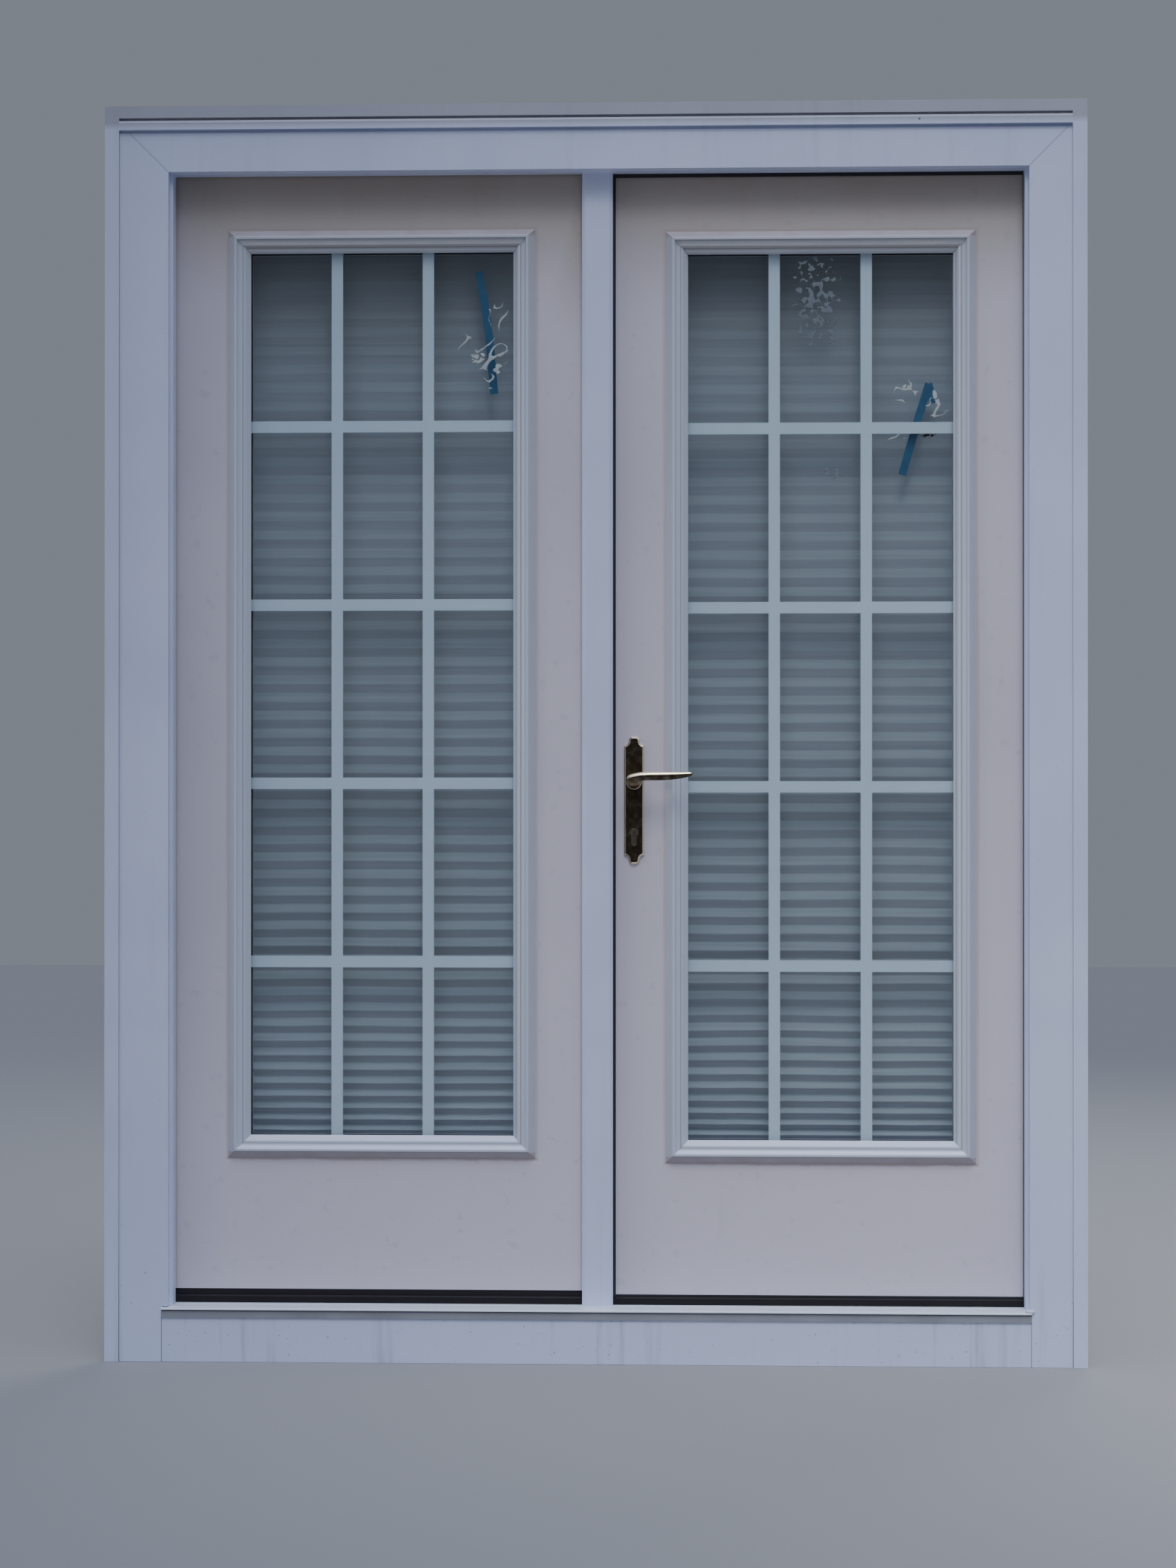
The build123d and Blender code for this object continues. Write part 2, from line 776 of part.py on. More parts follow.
def door_hinge(z):
    bore = Pos(pin_x, pin_y, z) * Cylinder(pin_radius + pin_clearance, hinge_height)
    return hinge_half(z, leaf_out - hinge_plate, 1) - bore


# Lock, plates and levers

def lock_edge_x():
    # the deepest point of the bevelled edge under the faceplate
    return leaf_in + leaf_bevel * (1 - (leaf_mid_y - faceplate_width / 2) / leaf_thickness)


axis_x = leaf_in + backset
axis_z = active_bottom + lever_height
key_z = axis_z - lock_pitch
plate_z = axis_z - plate_offset


def faceplate_body():
    x = lock_edge_x()
    middle = (axis_z + key_z) / 2
    return block(x, x + faceplate_thickness, leaf_mid_y - faceplate_width / 2,
                 leaf_mid_y + faceplate_width / 2, middle - faceplate_height / 2,
                 middle + faceplate_height / 2)


def case_body():
    x = lock_edge_x() + faceplate_thickness
    return block(x, x + case_depth, leaf_mid_y - case_width / 2, leaf_mid_y + case_width / 2,
                 key_z - case_below, axis_z + case_above)


def euro_profile(grow):
    radius = cylinder_radius + grow
    web_half = cylinder_web / 2 + grow
    low = cylinder_height - cylinder_radius - cylinder_web / 2
    web = Pos(0, -low / 2) * Rectangle(2 * web_half, low)
    return Circle(radius) + web + Pos(0, -low) * Circle(web_half)


def cylinder_bar(grow, y0, y1):
    return through(Pos(axis_x, key_z) * euro_profile(grow), y0, y1)


def latch_slot():
    x = lock_edge_x()
    half_y = latch_width / 2 + bolt_clearance
    half_z = latch_height / 2 + bolt_clearance
    return block(x, x + latch_body + latch_throw + bolt_clearance, leaf_mid_y - half_y,
                 leaf_mid_y + half_y, axis_z - half_z, axis_z + half_z)


def deadbolt_slot():
    x = lock_edge_x()
    half_y = deadbolt_width / 2 + bolt_clearance
    half_z = deadbolt_height / 2 + bolt_clearance
    return block(x, x + deadbolt_body + bolt_clearance, leaf_mid_y - half_y, leaf_mid_y + half_y,
                 key_z - half_z, key_z + half_z)


def lock_mortise():
    tools = [
        block(leaf_in, lock_edge_x() + faceplate_thickness, leaf_mid_y - faceplate_width / 2,
              leaf_mid_y + faceplate_width / 2, (axis_z + key_z - faceplate_height) / 2,
              (axis_z + key_z + faceplate_height) / 2),
        case_body(),
        rod(follower_radius + running_clearance, axis_x, axis_z, 0, leaf_thickness),
        cylinder_bar(running_clearance, 0, leaf_thickness),
    ]
    return tools + [rod(through_bolt_radius, x, z, 0, leaf_thickness) for x, z in bolt_places()]


def bolt_places():
    return ((axis_x, axis_z + bolt_above), (axis_x, axis_z - bolt_below))


def lock_case():
    case = case_body() - latch_slot() - deadbolt_slot()
    case -= rod(follower_radius + running_clearance, axis_x, axis_z, 0, leaf_thickness)
    return case - cylinder_bar(running_clearance, 0, leaf_thickness)


def faceplate():
    return faceplate_body() - latch_slot() - deadbolt_slot()


def latch_bolt():
    # the nose slopes on the side that meets the strike as the leaf closes
    tip = lock_edge_x() - latch_throw
    back = lock_edge_x() + latch_body
    near = leaf_mid_y - latch_width / 2
    far = leaf_mid_y + latch_width / 2
    outline = shape((tip, far), (tip + latch_slope, near), (back, near), (back, far))
    return upright(outline, axis_z - latch_height / 2, axis_z + latch_height / 2)


def deadbolt():
    x = lock_edge_x()
    return block(x, x + deadbolt_body, leaf_mid_y - deadbolt_width / 2,
                 leaf_mid_y + deadbolt_width / 2, key_z - deadbolt_height / 2,
                 key_z + deadbolt_height / 2)


def plate_outline():
    # a long oblong whose corners are scooped out, which leaves a narrow nub at each end
    shoulder = (plate_width - plate_nub) / 2
    body_height = plate_height - 2 * (plate_end - shoulder)
    scoops = Locations([(x * plate_width / 2, z * body_height / 2) for x in (-1, 1) for z in (-1, 1)])
    body = Rectangle(plate_width, body_height) - [place * Circle(shoulder) for place in scoops]
    return body + chamfer(Rectangle(plate_nub, plate_height).vertices(), plate_nub_cut)


def outer_plate():
    plate = through(Pos(axis_x, plate_z) * plate_outline(), -plate_thickness, 0)
    plate = chamfer(plate.edges().group_by(Axis.Y)[0], plate_chamfer)
    collar = rod(collar_radius, axis_x, axis_z, -plate_thickness - collar_height, -plate_thickness)
    collar = chamfer(collar.edges().group_by(Axis.Y)[0], collar_chamfer)
    plate += collar
    plate -= rod(neck_radius + running_clearance, axis_x, axis_z,
                 -plate_thickness - collar_height, 0)
    return plate - cylinder_bar(running_clearance, -plate_thickness, 0)


def inner_plate():
    plate = turned_inside(outer_plate())
    return plate - [rod(through_bolt_radius, x, z, leaf_thickness, leaf_thickness + plate_thickness)
                    for x, z in bolt_places()]


def through_bolts():
    head = leaf_thickness + plate_thickness
    bolts = []
    for x, z in bolt_places():
        bolt = rod(through_bolt_radius, x, z, 0, head)
        bolts.append(bolt + rod(bolt_head_radius, x, z, head, head + bolt_head_height))
    return bolts


def lock_cylinder():
    proud = plate_thickness + cylinder_proud
    return cylinder_bar(0, -proud, leaf_thickness + proud)


def grip_outline():
    # seen from the front: a straight upper edge that curls down around a round boss, and a bellied
    # lower edge that rises to the tip
    heel = (boss_radius, lever_top - lever_belly)
    tip_low = (lever_length, lever_top - lever_tip)
    curl = SagittaArc((boss_radius, lever_top), (-boss_radius, 0), curl_sag)
    top = Polyline((boss_radius, lever_top), (lever_length, lever_top), tip_low)
    belly = SagittaArc(tip_low, heel, lever_sag)
    foot = Polyline(heel, (boss_radius, 0), (-boss_radius, 0))
    return make_face(curl + top + belly + foot) + Circle(boss_radius)


def grip_from_above():
    shoulder = boss_radius / 2
    half = grip_thickness / 2
    tip_half = tip_thickness / 2
    return shape(
        (-boss_radius, -tip_half), (-shoulder, -half), (shoulder, -half), (lever_length, -tip_half),
        (lever_length, tip_half), (shoulder, half), (-shoulder, half), (-boss_radius, tip_half),
    )


def lever():
    # the grip has the outline seen from the front, cut down by the outline seen from above
    half = grip_thickness / 2
    grip = through(grip_outline(), -lever_reach - half, half - lever_reach)
    grip &= upright(Pos(0, -lever_reach) * grip_from_above(), -boss_radius, lever_top)
    long_edges = grip.edges().filter_by(lambda edge: edge.length > lever_length / 2)
    grip = chamfer(long_edges, lever_chamfer)
    foot = plate_thickness + collar_height + running_clearance
    flare = Pos(0, -(foot + lever_reach) / 2, 0) * Rot(90, 0, 0) * Cone(
        neck_foot_radius, neck_radius, lever_reach - foot)
    return grip + flare + rod(neck_radius, 0, 0, -lever_reach, 0)


def outer_lever():
    return Pos(axis_x, 0, axis_z) * lever() - spindle()


def inner_lever():
    return turned_inside(Pos(axis_x, 0, axis_z) * lever()) - spindle()


def spindle():
    half = spindle_side / 2
    reach = lever_reach / 2
    return block(axis_x - half, axis_x + half, -reach, leaf_thickness + reach,
                 axis_z - half, axis_z + half)


def follower():
    half = case_width / 2 - bolt_clearance
    ring = rod(follower_radius, axis_x, axis_z, leaf_mid_y - half, leaf_mid_y + half)
    return ring - spindle()


def thumbturn():
    start = leaf_thickness + plate_thickness + cylinder_proud
    stem = rod(thumb_stem_radius, axis_x, key_z, start, start + thumb_gap)
    paddle = through(Pos(axis_x, key_z) * SlotOverall(thumb_length, thumb_width, rotation=90),
                     start + thumb_gap, start + thumb_gap + thumb_depth)
    return stem + paddle


def main():
    save("left_jamb", left_jamb())
    save("right_jamb", right_jamb())
    save("head_jamb", head_jamb())
    save("centre_mullion", centre_mullion())
    save("strike_plate", strike_plate())
    save("sill_base", sill_base())
    save("sill_deck", sill_deck())
    save("threshold_cap", threshold_cap())
    save("apron_board", apron_board())
    save("left_casing", swapped(side_casing(left_casing_width, left_horn)))
    save("right_casing", side_casing(right_casing_width, right_horn))
    save("head_casing", head_casing())
    save("drip_cap", drip_cap())
    save("left_trim", swapped(side_trim(left_casing_out, head_trim_low)))
    save("right_trim", side_trim(right_casing_out, head_trim_top - 2 * trim_wall))
    save("head_trim", head_trim())
    save("hinge_seal", hinge_seal())
    save("latch_seal", latch_seal())
    save("head_seal", head_seal())
    save("fixed_leaf_gasket", fixed_leaf_gasket())
    save("fixed_leaf_block", fixed_leaf_block())
    save("fixed_leaf_shims", *shims())
    save("hinge_frame_leaves", *[frame_hinge(z) for z in hinge_heights()])

    save("fixed_slab", fixed_slab())
    save_lite("fixed", fixed_lite_x, fixed_bottom)
    save_shade("fixed", fixed_lite_x, fixed_bottom)

    save("active_slab", active_slab())
    save_lite("active", active_lite_x, active_bottom)
    save_shade("active", active_lite_x, active_bottom)
    save("door_sweep", door_sweep())
    save("hinge_door_leaves", *[door_hinge(z) for z in hinge_heights()])
    save("lock_case", lock_case())
    save("lock_faceplate", faceplate())
    save("lock_cylinder", lock_cylinder())
    save("outer_plate", outer_plate())
    save("inner_plate", inner_plate())
    save("through_bolts", *through_bolts())
    save("outer_lever", outer_lever())
    save("inner_lever", inner_lever())
    save("spindle", spindle())
    save("follower", follower())
    save("latch_bolt", latch_bolt())
    save("deadbolt", deadbolt())
    save("thumbturn", thumbturn())


main()
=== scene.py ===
from math import pi, sin

import bmesh
import bpy
from mathutils import Matrix, Vector, noise


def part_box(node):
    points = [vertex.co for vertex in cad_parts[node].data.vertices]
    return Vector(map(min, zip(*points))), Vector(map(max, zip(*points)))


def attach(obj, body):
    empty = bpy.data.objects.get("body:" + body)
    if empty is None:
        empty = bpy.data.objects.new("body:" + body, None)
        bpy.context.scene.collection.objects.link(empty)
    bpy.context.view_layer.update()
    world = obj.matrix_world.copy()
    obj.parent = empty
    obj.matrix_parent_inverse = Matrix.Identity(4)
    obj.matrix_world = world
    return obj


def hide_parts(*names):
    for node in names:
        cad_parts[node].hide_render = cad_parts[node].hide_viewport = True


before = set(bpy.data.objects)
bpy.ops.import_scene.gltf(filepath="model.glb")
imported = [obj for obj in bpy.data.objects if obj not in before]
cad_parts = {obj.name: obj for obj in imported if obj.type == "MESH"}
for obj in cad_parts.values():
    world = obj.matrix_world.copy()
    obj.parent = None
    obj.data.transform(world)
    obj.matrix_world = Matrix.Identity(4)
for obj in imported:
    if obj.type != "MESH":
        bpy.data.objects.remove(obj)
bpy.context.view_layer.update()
print("frame loaded")


# sums on sockets: an expression adds its Math nodes
class Wire:
    def __init__(self, finish, link):
        self.finish = finish
        self.link = link

    def sum(self, operation, first, second):
        return self.finish.add("Math", {"operation": operation}, {0: first, 1: second})

    def __add__(self, other):
        return self.sum("ADD", self, other)

    def __sub__(self, other):
        return self.sum("SUBTRACT", self, other)

    def __rsub__(self, other):
        return self.sum("SUBTRACT", other, self)

    def __mul__(self, other):
        return self.sum("MULTIPLY", self, other)

    def __lt__(self, other):
        return self.sum("LESS_THAN", self, other)

    def __gt__(self, other):
        return self.sum("GREATER_THAN", self, other)

    def __abs__(self):
        return self.sum("ABSOLUTE", self, 0)

    def over(self, other):
        return self.sum("MAXIMUM", self, other)

    def under(self, other):
        return self.sum("MINIMUM", self, other)

    __radd__ = __add__
    __rmul__ = __mul__


class Finish:
    def __init__(self, name, tree=None):
        if tree is None:
            self.material = bpy.data.materials.new(name)
            self.material.use_nodes = True
            tree = self.material.node_tree
        self.tree = tree
        self.tree.nodes.clear()

    def add(self, kind, settings=None, inputs=None, out=0):
        node = self.tree.nodes.new("ShaderNode" + kind)
        for name, value in (settings or {}).items():
            setattr(node, name, value)
        for name, value in (inputs or {}).items():
            if isinstance(value, Wire):
                self.tree.links.new(value.link, node.inputs[name])
            elif isinstance(value, tuple) and len(value) == 3 and node.inputs[name].type == "RGBA":
                node.inputs[name].default_value = (*value, 1)
            else:
                node.inputs[name].default_value = value
        return Wire(self, node.outputs[out]) if node.outputs else None

    def coords(self):
        return self.add("TexCoord", out="Object")

    def axis(self, letter, vector=None):
        return self.add("SeparateXYZ", {}, {0: vector or self.coords()}, out=letter)

    def stretched(self, scale):
        return self.add("Mapping", {}, {"Vector": self.coords(), "Scale": scale})

    def noise(self, scale, detail=3.0, rough=0.5, vector=None):
        return self.add("TexNoise", {}, {"Vector": vector or self.coords(), "Scale": scale,
                                         "Detail": detail, "Roughness": rough})

    def fade(self, value, start, end):
        # 0 at start and 1 at end, eased between
        return self.add("MapRange", {"interpolation_type": "SMOOTHSTEP"},
                        {0: value, 1: start, 2: end, 3: 0.0, 4: 1.0})

    def blend(self, factor, first, second):
        return self.add("Mix", {"data_type": "RGBA"}, {0: factor, 6: first, 7: second}, out=2)

    def rounded(self, radius):
        return self.add("Bevel", {"samples": 3}, {"Radius": radius})

    def bumped(self, height, distance, strength=1.0, normal=None):
        inputs = {"Height": height, "Distance": distance, "Strength": strength}
        if normal is not None:
            inputs["Normal"] = normal
        return self.add("Bump", {}, inputs)

    def surface(self, **inputs):
        named = {name.replace("_", " "): value for name, value in inputs.items()}
        return self.add("BsdfPrincipled", {}, named)

    def done(self, shader):
        self.add("OutputMaterial", {}, {"Surface": shader})
        return self.material


def dress(material, *names):
    for name in names:
        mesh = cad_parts[name].data
        mesh.materials.clear()
        mesh.materials.append(material)


def piece(name, shape, material, body, smooth=False):
    mesh = bpy.data.meshes.new(name)
    shape.to_mesh(mesh)
    shape.free()
    mesh.materials.append(material)
    if smooth:
        mesh.shade_smooth()
    thing = bpy.data.objects.new(name, mesh)
    bpy.context.scene.collection.objects.link(thing)
    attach(thing, body)
    return thing


def thicken(thing, thickness):
    wall = thing.modifiers.new("thickness", "SOLIDIFY")
    wall.thickness = thickness
    wall.offset = 0


def addBox(shape, low, high):
    middle = (Vector(low) + Vector(high)) / 2
    size = Vector(high) - Vector(low)
    bmesh.ops.create_cube(shape, size=1, matrix=Matrix.LocRotScale(middle, None, size))


def addDisc(shape, centre, radius, depth, axis="Y", segments=24):
    turn = {"X": Matrix.Rotation(pi / 2, 4, "Y"), "Y": Matrix.Rotation(pi / 2, 4, "X")}[axis]
    bmesh.ops.create_cone(shape, cap_ends=True, cap_tris=False, segments=segments, radius1=radius,
                          radius2=radius, depth=depth, matrix=Matrix.Translation(centre) @ turn)


# places read from the frame
headCasingLow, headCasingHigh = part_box("head_casing")
leftCasingLow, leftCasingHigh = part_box("left_casing")
rightCasingLow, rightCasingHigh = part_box("right_casing")
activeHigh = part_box("active_slab")[1]
apronLow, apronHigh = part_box("apron_board")
deckLow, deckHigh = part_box("sill_deck")
casingInner = headCasingHigh.x - (headCasingHigh.z - headCasingLow.z)
bodyOf = {"fixed": "frame", "active": "active_leaf"}

view = {
    "place": (0.2322, -6.0, 1.0209),
    "turn": 0.04137,  # radians to the left
    "tilt": 0.00357,  # radians upwards
    "lens": 102.05,
    "width": 36.0,
    "frameWidth": 1659,
    "frameHeight": 2212,
}


def makeCamera():
    v = view
    lens = bpy.data.cameras.new("camera")
    lens.sensor_fit = "HORIZONTAL"
    lens.sensor_width = v["width"]
    lens.lens = v["lens"]
    eye = bpy.data.objects.new("camera", lens)
    eye.location = v["place"]
    eye.rotation_euler = (pi / 2 + v["tilt"], 0, v["turn"])
    bpy.context.scene.collection.objects.link(eye)
    bpy.context.scene.camera = eye


def seenAt(pixel, depth):
    # the point of the plane y = depth that the camera sees at this pixel of the photograph's frame
    v = view
    focal = v["lens"] / v["width"] * v["frameWidth"]
    across = (pixel[0] - v["frameWidth"] / 2) / focal
    up = (v["frameHeight"] / 2 - pixel[1]) / focal
    aim = Matrix.Rotation(v["turn"], 3, "Z") @ Matrix.Rotation(v["tilt"], 3, "X")
    ray = aim @ Vector((across, 1, up))
    start = Vector(v["place"])
    return start + ray * ((depth - start.y) / ray.y)


trimPaint = {
    "colour": (0.73, 0.76, 0.925),
    "shade": (0.66, 0.695, 0.86),
    "roughness": 0.42,
    "lightTone": (0.755, 0.80, 1.0),  # painted light: lighter and bluer low down
    "lightHeights": (0.55, 0.0),  # where it starts and where it is full
    "lightShare": 0.8,
    "dustAndShade": (0.35, 0.34, 0.36),  # painted shade high on the left side
    "leftShadeHeights": (0.5, 1.6),
    "leftShadeShare": 0.13,
    "headShade": (0.22, 0.17, 0.09),  # painted shade on the outer trim over the drip cap
    "headShadeAbove": (0.004, 0.020),  # above the head casing, where it starts and where it is full
    "headShadeShare": 0.48,
    "grime": (0.20, 0.20, 0.21),
    "footHeight": 0.30,  # more of it gathers below this
    "streakShares": (0.14, 0.5),  # all over, and how much is added at the foot
    "fleckShares": (0.16, 0.4),
    "seamColour": (0.10, 0.10, 0.12),
    "seamWidth": 0.0009,
    "mitreWidth": 0.00126,
    "mitreStop": 0.0008,  # below the top edge
    "mitreShare": 0.75,
    "trimJoint": 0.7,
    "apronJoint": 0.8,
    "nailPlace": (0.578, 2.232),
    "nailRadius": 0.0022,
    "nailShare": 0.8,
}


def makeTrimPaint():
    v = trimPaint
    paint = Finish("trimPaint")
    x = paint.axis("X")
    z = paint.axis("Z")
    cloud = paint.noise(scale=3.0, detail=4.0)
    colour = paint.blend(paint.fade(cloud, 0.35, 0.7), v["colour"], v["shade"])
    # painted light: lighter and bluer towards the foot
    colour = paint.blend(paint.fade(z, *v["lightHeights"]) * v["lightShare"], colour, v["lightTone"])
    # painted shade high on the left side
    leftShaded = paint.fade(x, leftCasingHigh.x, leftCasingLow.x) * paint.fade(z, *v["leftShadeHeights"])
    colour = paint.blend(leftShaded * v["leftShadeShare"], colour, v["dustAndShade"])
    # rain streaks run down, and grime gathers near the foot
    foot = paint.fade(z, v["footHeight"], 0.0)
    rain = paint.stretched((1.0, 1.0, 0.05))
    streak = paint.noise(scale=30.0, detail=4.0, rough=0.6, vector=rain)
    allOver, atFoot = v["streakShares"]
    dirt = paint.fade(streak, 0.55, 0.85) * (allOver + foot * atFoot)
    allOver, atFoot = v["fleckShares"]
    fleck = paint.fade(paint.noise(scale=160.0, detail=2.0), 0.70, 0.76) * (allOver + foot * atFoot)
    colour = paint.blend(dirt.over(fleck), colour, v["grime"])
    # mitres at the head and the joints between the boards
    mitre = abs(abs(x) - casingInner - (z - headCasingLow.z)) < v["mitreWidth"] / 2
    mitre = mitre * (z > headCasingLow.z) * (z < headCasingHigh.z - v["mitreStop"])
    seams = mitre * (paint.axis("Y") < leftCasingHigh.y) * v["mitreShare"]
    for edge, top, dark in (
        (leftCasingLow.x, headCasingHigh.z, v["trimJoint"]),
        (rightCasingHigh.x, headCasingHigh.z, v["trimJoint"]),
        (apronLow.x, deckLow.z, v["apronJoint"]),
        (apronHigh.x, deckLow.z, v["apronJoint"]),
    ):
        line = (abs(x - edge) < v["seamWidth"] / 2) * (z < top)
        seams = seams.over(line * (dark * 0.6 + foot * 0.4))
    # painted shade above the head casing
    start, full = (headCasingHigh.z + above for above in v["headShadeAbove"])
    colour = paint.blend(paint.fade(z, start, full) * v["headShadeShare"], colour, v["headShade"])
    nailX, nailZ = v["nailPlace"]
    gapX = x - nailX
    gapZ = z - nailZ
    nail = (gapX * gapX + gapZ * gapZ) < v["nailRadius"] ** 2
    colour = paint.blend(seams.over(nail * v["nailShare"]), colour, v["seamColour"])
    upright = paint.stretched((1.0, 1.0, 0.12))
    grain = paint.noise(scale=90.0, rough=0.55, vector=upright)
    bump = paint.bumped(grain * 0.5 - seams, distance=0.0004, strength=0.45)
    rough = v["roughness"] + paint.fade(cloud, 0.3, 0.8) * 0.12 + dirt * 0.2
    return paint.done(paint.surface(Base_Color=colour, Roughness=rough, Normal=bump))


leafPaint = {
    "colour": (0.725, 0.66, 0.695),
    "shade": (0.67, 0.61, 0.645),
    "roughness": 0.36,
    "peel": 0.00012,
    "lightTone": (0.82, 0.75, 0.81),  # painted light: lighter low down
    "lightHeights": (0.85, 0.25),  # where it starts and where it is full
    "lightShare": 0.55,
    "mark": (0.27, 0.26, 0.28),
    "markShare": 0.12,
    "footHeights": (0.42, 0.12),
    "washShares": (0.05, 0.16),  # all over, and how much is added at the foot
    "headShade": (0.30, 0.22, 0.06),  # painted shade under the head
    "headReach": (0.26, 0.02),  # below the leaf's top, where it starts and where it is full
    "headShare": 0.54,
    "postReach": (0.34, 0.05),  # the same painted shade in the corner beside the mullion on the fixed leaf
    "postPlaces": (-0.12, -0.03),
    "postShare": 0.55,
    "sideShade": (0.25, 0.26, 0.32),  # painted shade along the leaf's left edge
    "sideReach": 0.13,
    "sideShare": 0.16,
    "frameShadowAndDirt": (0.47, 0.34, 0.30),  # painted shadow round the lite frame, and dirt that gathers against it
    "fringeWidth": 0.007,
    "fringeFull": 0.002,
    "fringeShares": (0.34, 0.32),  # all round, and how much is added below
}


def makeLeafPaint(side):
    v = leafPaint
    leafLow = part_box(side + "_slab")[0]
    low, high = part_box(side + "_outer_lite_frame")
    middle = (low + high) / 2
    reach = (high - low) / 2
    paint = Finish(side + "LeafPaint")
    x = paint.axis("X")
    z = paint.axis("Z")
    cloud = paint.noise(scale=2.2, detail=3.0)
    colour = paint.blend(paint.fade(cloud, 0.35, 0.7), v["colour"], v["shade"])
    # painted light: lighter towards the foot
    colour = paint.blend(paint.fade(z, *v["lightHeights"]) * v["lightShare"], colour, v["lightTone"])
    # a faint drip-like unevenness, and handling marks
    wash = paint.noise(scale=14.0, detail=4.0, rough=0.6, vector=paint.stretched((1.0, 1.0, 0.12)))
    mark = paint.fade(paint.noise(scale=46.0, detail=3.0), 0.62, 0.74) * v["markShare"]
    foot = paint.fade(z, *v["footHeights"])
    allOver, atFoot = v["washShares"]
    dirt = mark + paint.fade(wash, 0.58, 0.8) * (allOver + foot * atFoot)
    colour = paint.blend(dirt, colour, v["mark"])
    # painted shade under the head, and in the fixed leaf's corner beside the mullion
    start, full = (activeHigh.z - below for below in v["headReach"])
    head = paint.fade(z, start, full) * v["headShare"]
    if side == "fixed":
        start, full = (activeHigh.z - below for below in v["postReach"])
        post = paint.fade(z, start, full) * paint.fade(x, *v["postPlaces"])
        head = head.over(post * v["postShare"])
    colour = paint.blend(head * (0.85 + wash * 0.3), colour, v["headShade"])
    # painted shade along the leaf's left edge
    edge = paint.fade(x, leafLow.x + v["sideReach"], leafLow.x) * v["sideShare"]
    colour = paint.blend(edge, colour, v["sideShade"])
    # painted shadow and dirt lie along the lite frame, and most of it below
    outside = (abs(x - middle.x) - reach.x).over(abs(z - middle.z) - reach.z)
    ragged = outside + (wash - 0.5) * 0.010
    allRound, underneath = v["fringeShares"]
    frameShadowAndDirt = paint.fade(ragged, v["fringeWidth"], v["fringeFull"])
    frameShadowAndDirt = frameShadowAndDirt * ((z < low.z) * underneath + allRound)
    colour = paint.blend(frameShadowAndDirt, colour, v["frameShadowAndDirt"])
    bump = paint.bumped(paint.noise(scale=260.0, detail=2.0) * 0.5 + wash, v["peel"], strength=0.6)
    rough = v["roughness"] + paint.fade(cloud, 0.3, 0.8) * 0.1
    return paint.done(paint.surface(Base_Color=colour, Roughness=rough, Normal=bump))


liteFrame = {
    "colour": (0.665, 0.69, 0.765),
    "shade": (0.60, 0.625, 0.695),
    "roughness": 0.30,
    # the step's painted shadow line, the lines, the cove and the stripes are measured from the
    # frame's outer edge
    # the tone of the mitres and of the painted shadow line under the step
    "seamColour": (0.22, 0.23, 0.25),
    "mitre": 0.0006,  # half width of the joint at each corner
    "mitreShare": 0.45,
    "stepShadow": 0.0268,
    "stepShadowWidth": 0.0024,
    "stepShadowShare": 0.50,
    # painted shade on the top bar, under the head
    "topShade": (0.33, 0.25, 0.07),
    "topReach": 0.15,
    "topShare": 0.14,
    "lightTone": (0.88, 0.90, 1.0),  # painted light on faces that look up
    "lightTilts": (0.10, 0.50),
    "lightShare": 0.75,
    "under": (0.20, 0.15, 0.11),  # painted shade on faces that look down
    "underTilts": (-0.05, -0.25),
    "underShare": 0.06,
    "lineShare": 0.66,  # most of the painted shade lies in two lines
    # distance of a line, half width of its start and of its full tone
    "lines": ((0.0140, 0.0042, 0.0020), (0.0300, 0.0032, 0.0012)),
    # painted shade and dirt in the outer cove
    "dirt": (0.36, 0.25, 0.22),
    "cove": (0.0135, 0.0095),  # where the painted shade and dirt in the outer cove start and where they are full
    "coveShares": (0.24, 0.58),  # on the side bars, and on the top and bottom bars
    # painted highlight
    "paintedHighlight": (0.88, 0.85, 0.81),
    # painted highlights and painted shadow lines: bar, distance, half width, tone, share
    "stripes": (("top", 0.0232, 0.0042, "paintedHighlight", 0.75), ("top", 0.0356, 0.0014, "paintedHighlight", 0.5),
                ("right", 0.0290, 0.0024, "paintedHighlight", 0.5), ("right", 0.0253, 0.0013, "under", 0.3),
                ("right", 0.0352, 0.0018, "under", 0.3)),
    "speck": (0.30, 0.30, 0.30),
    "speckShare": 0.2,
}


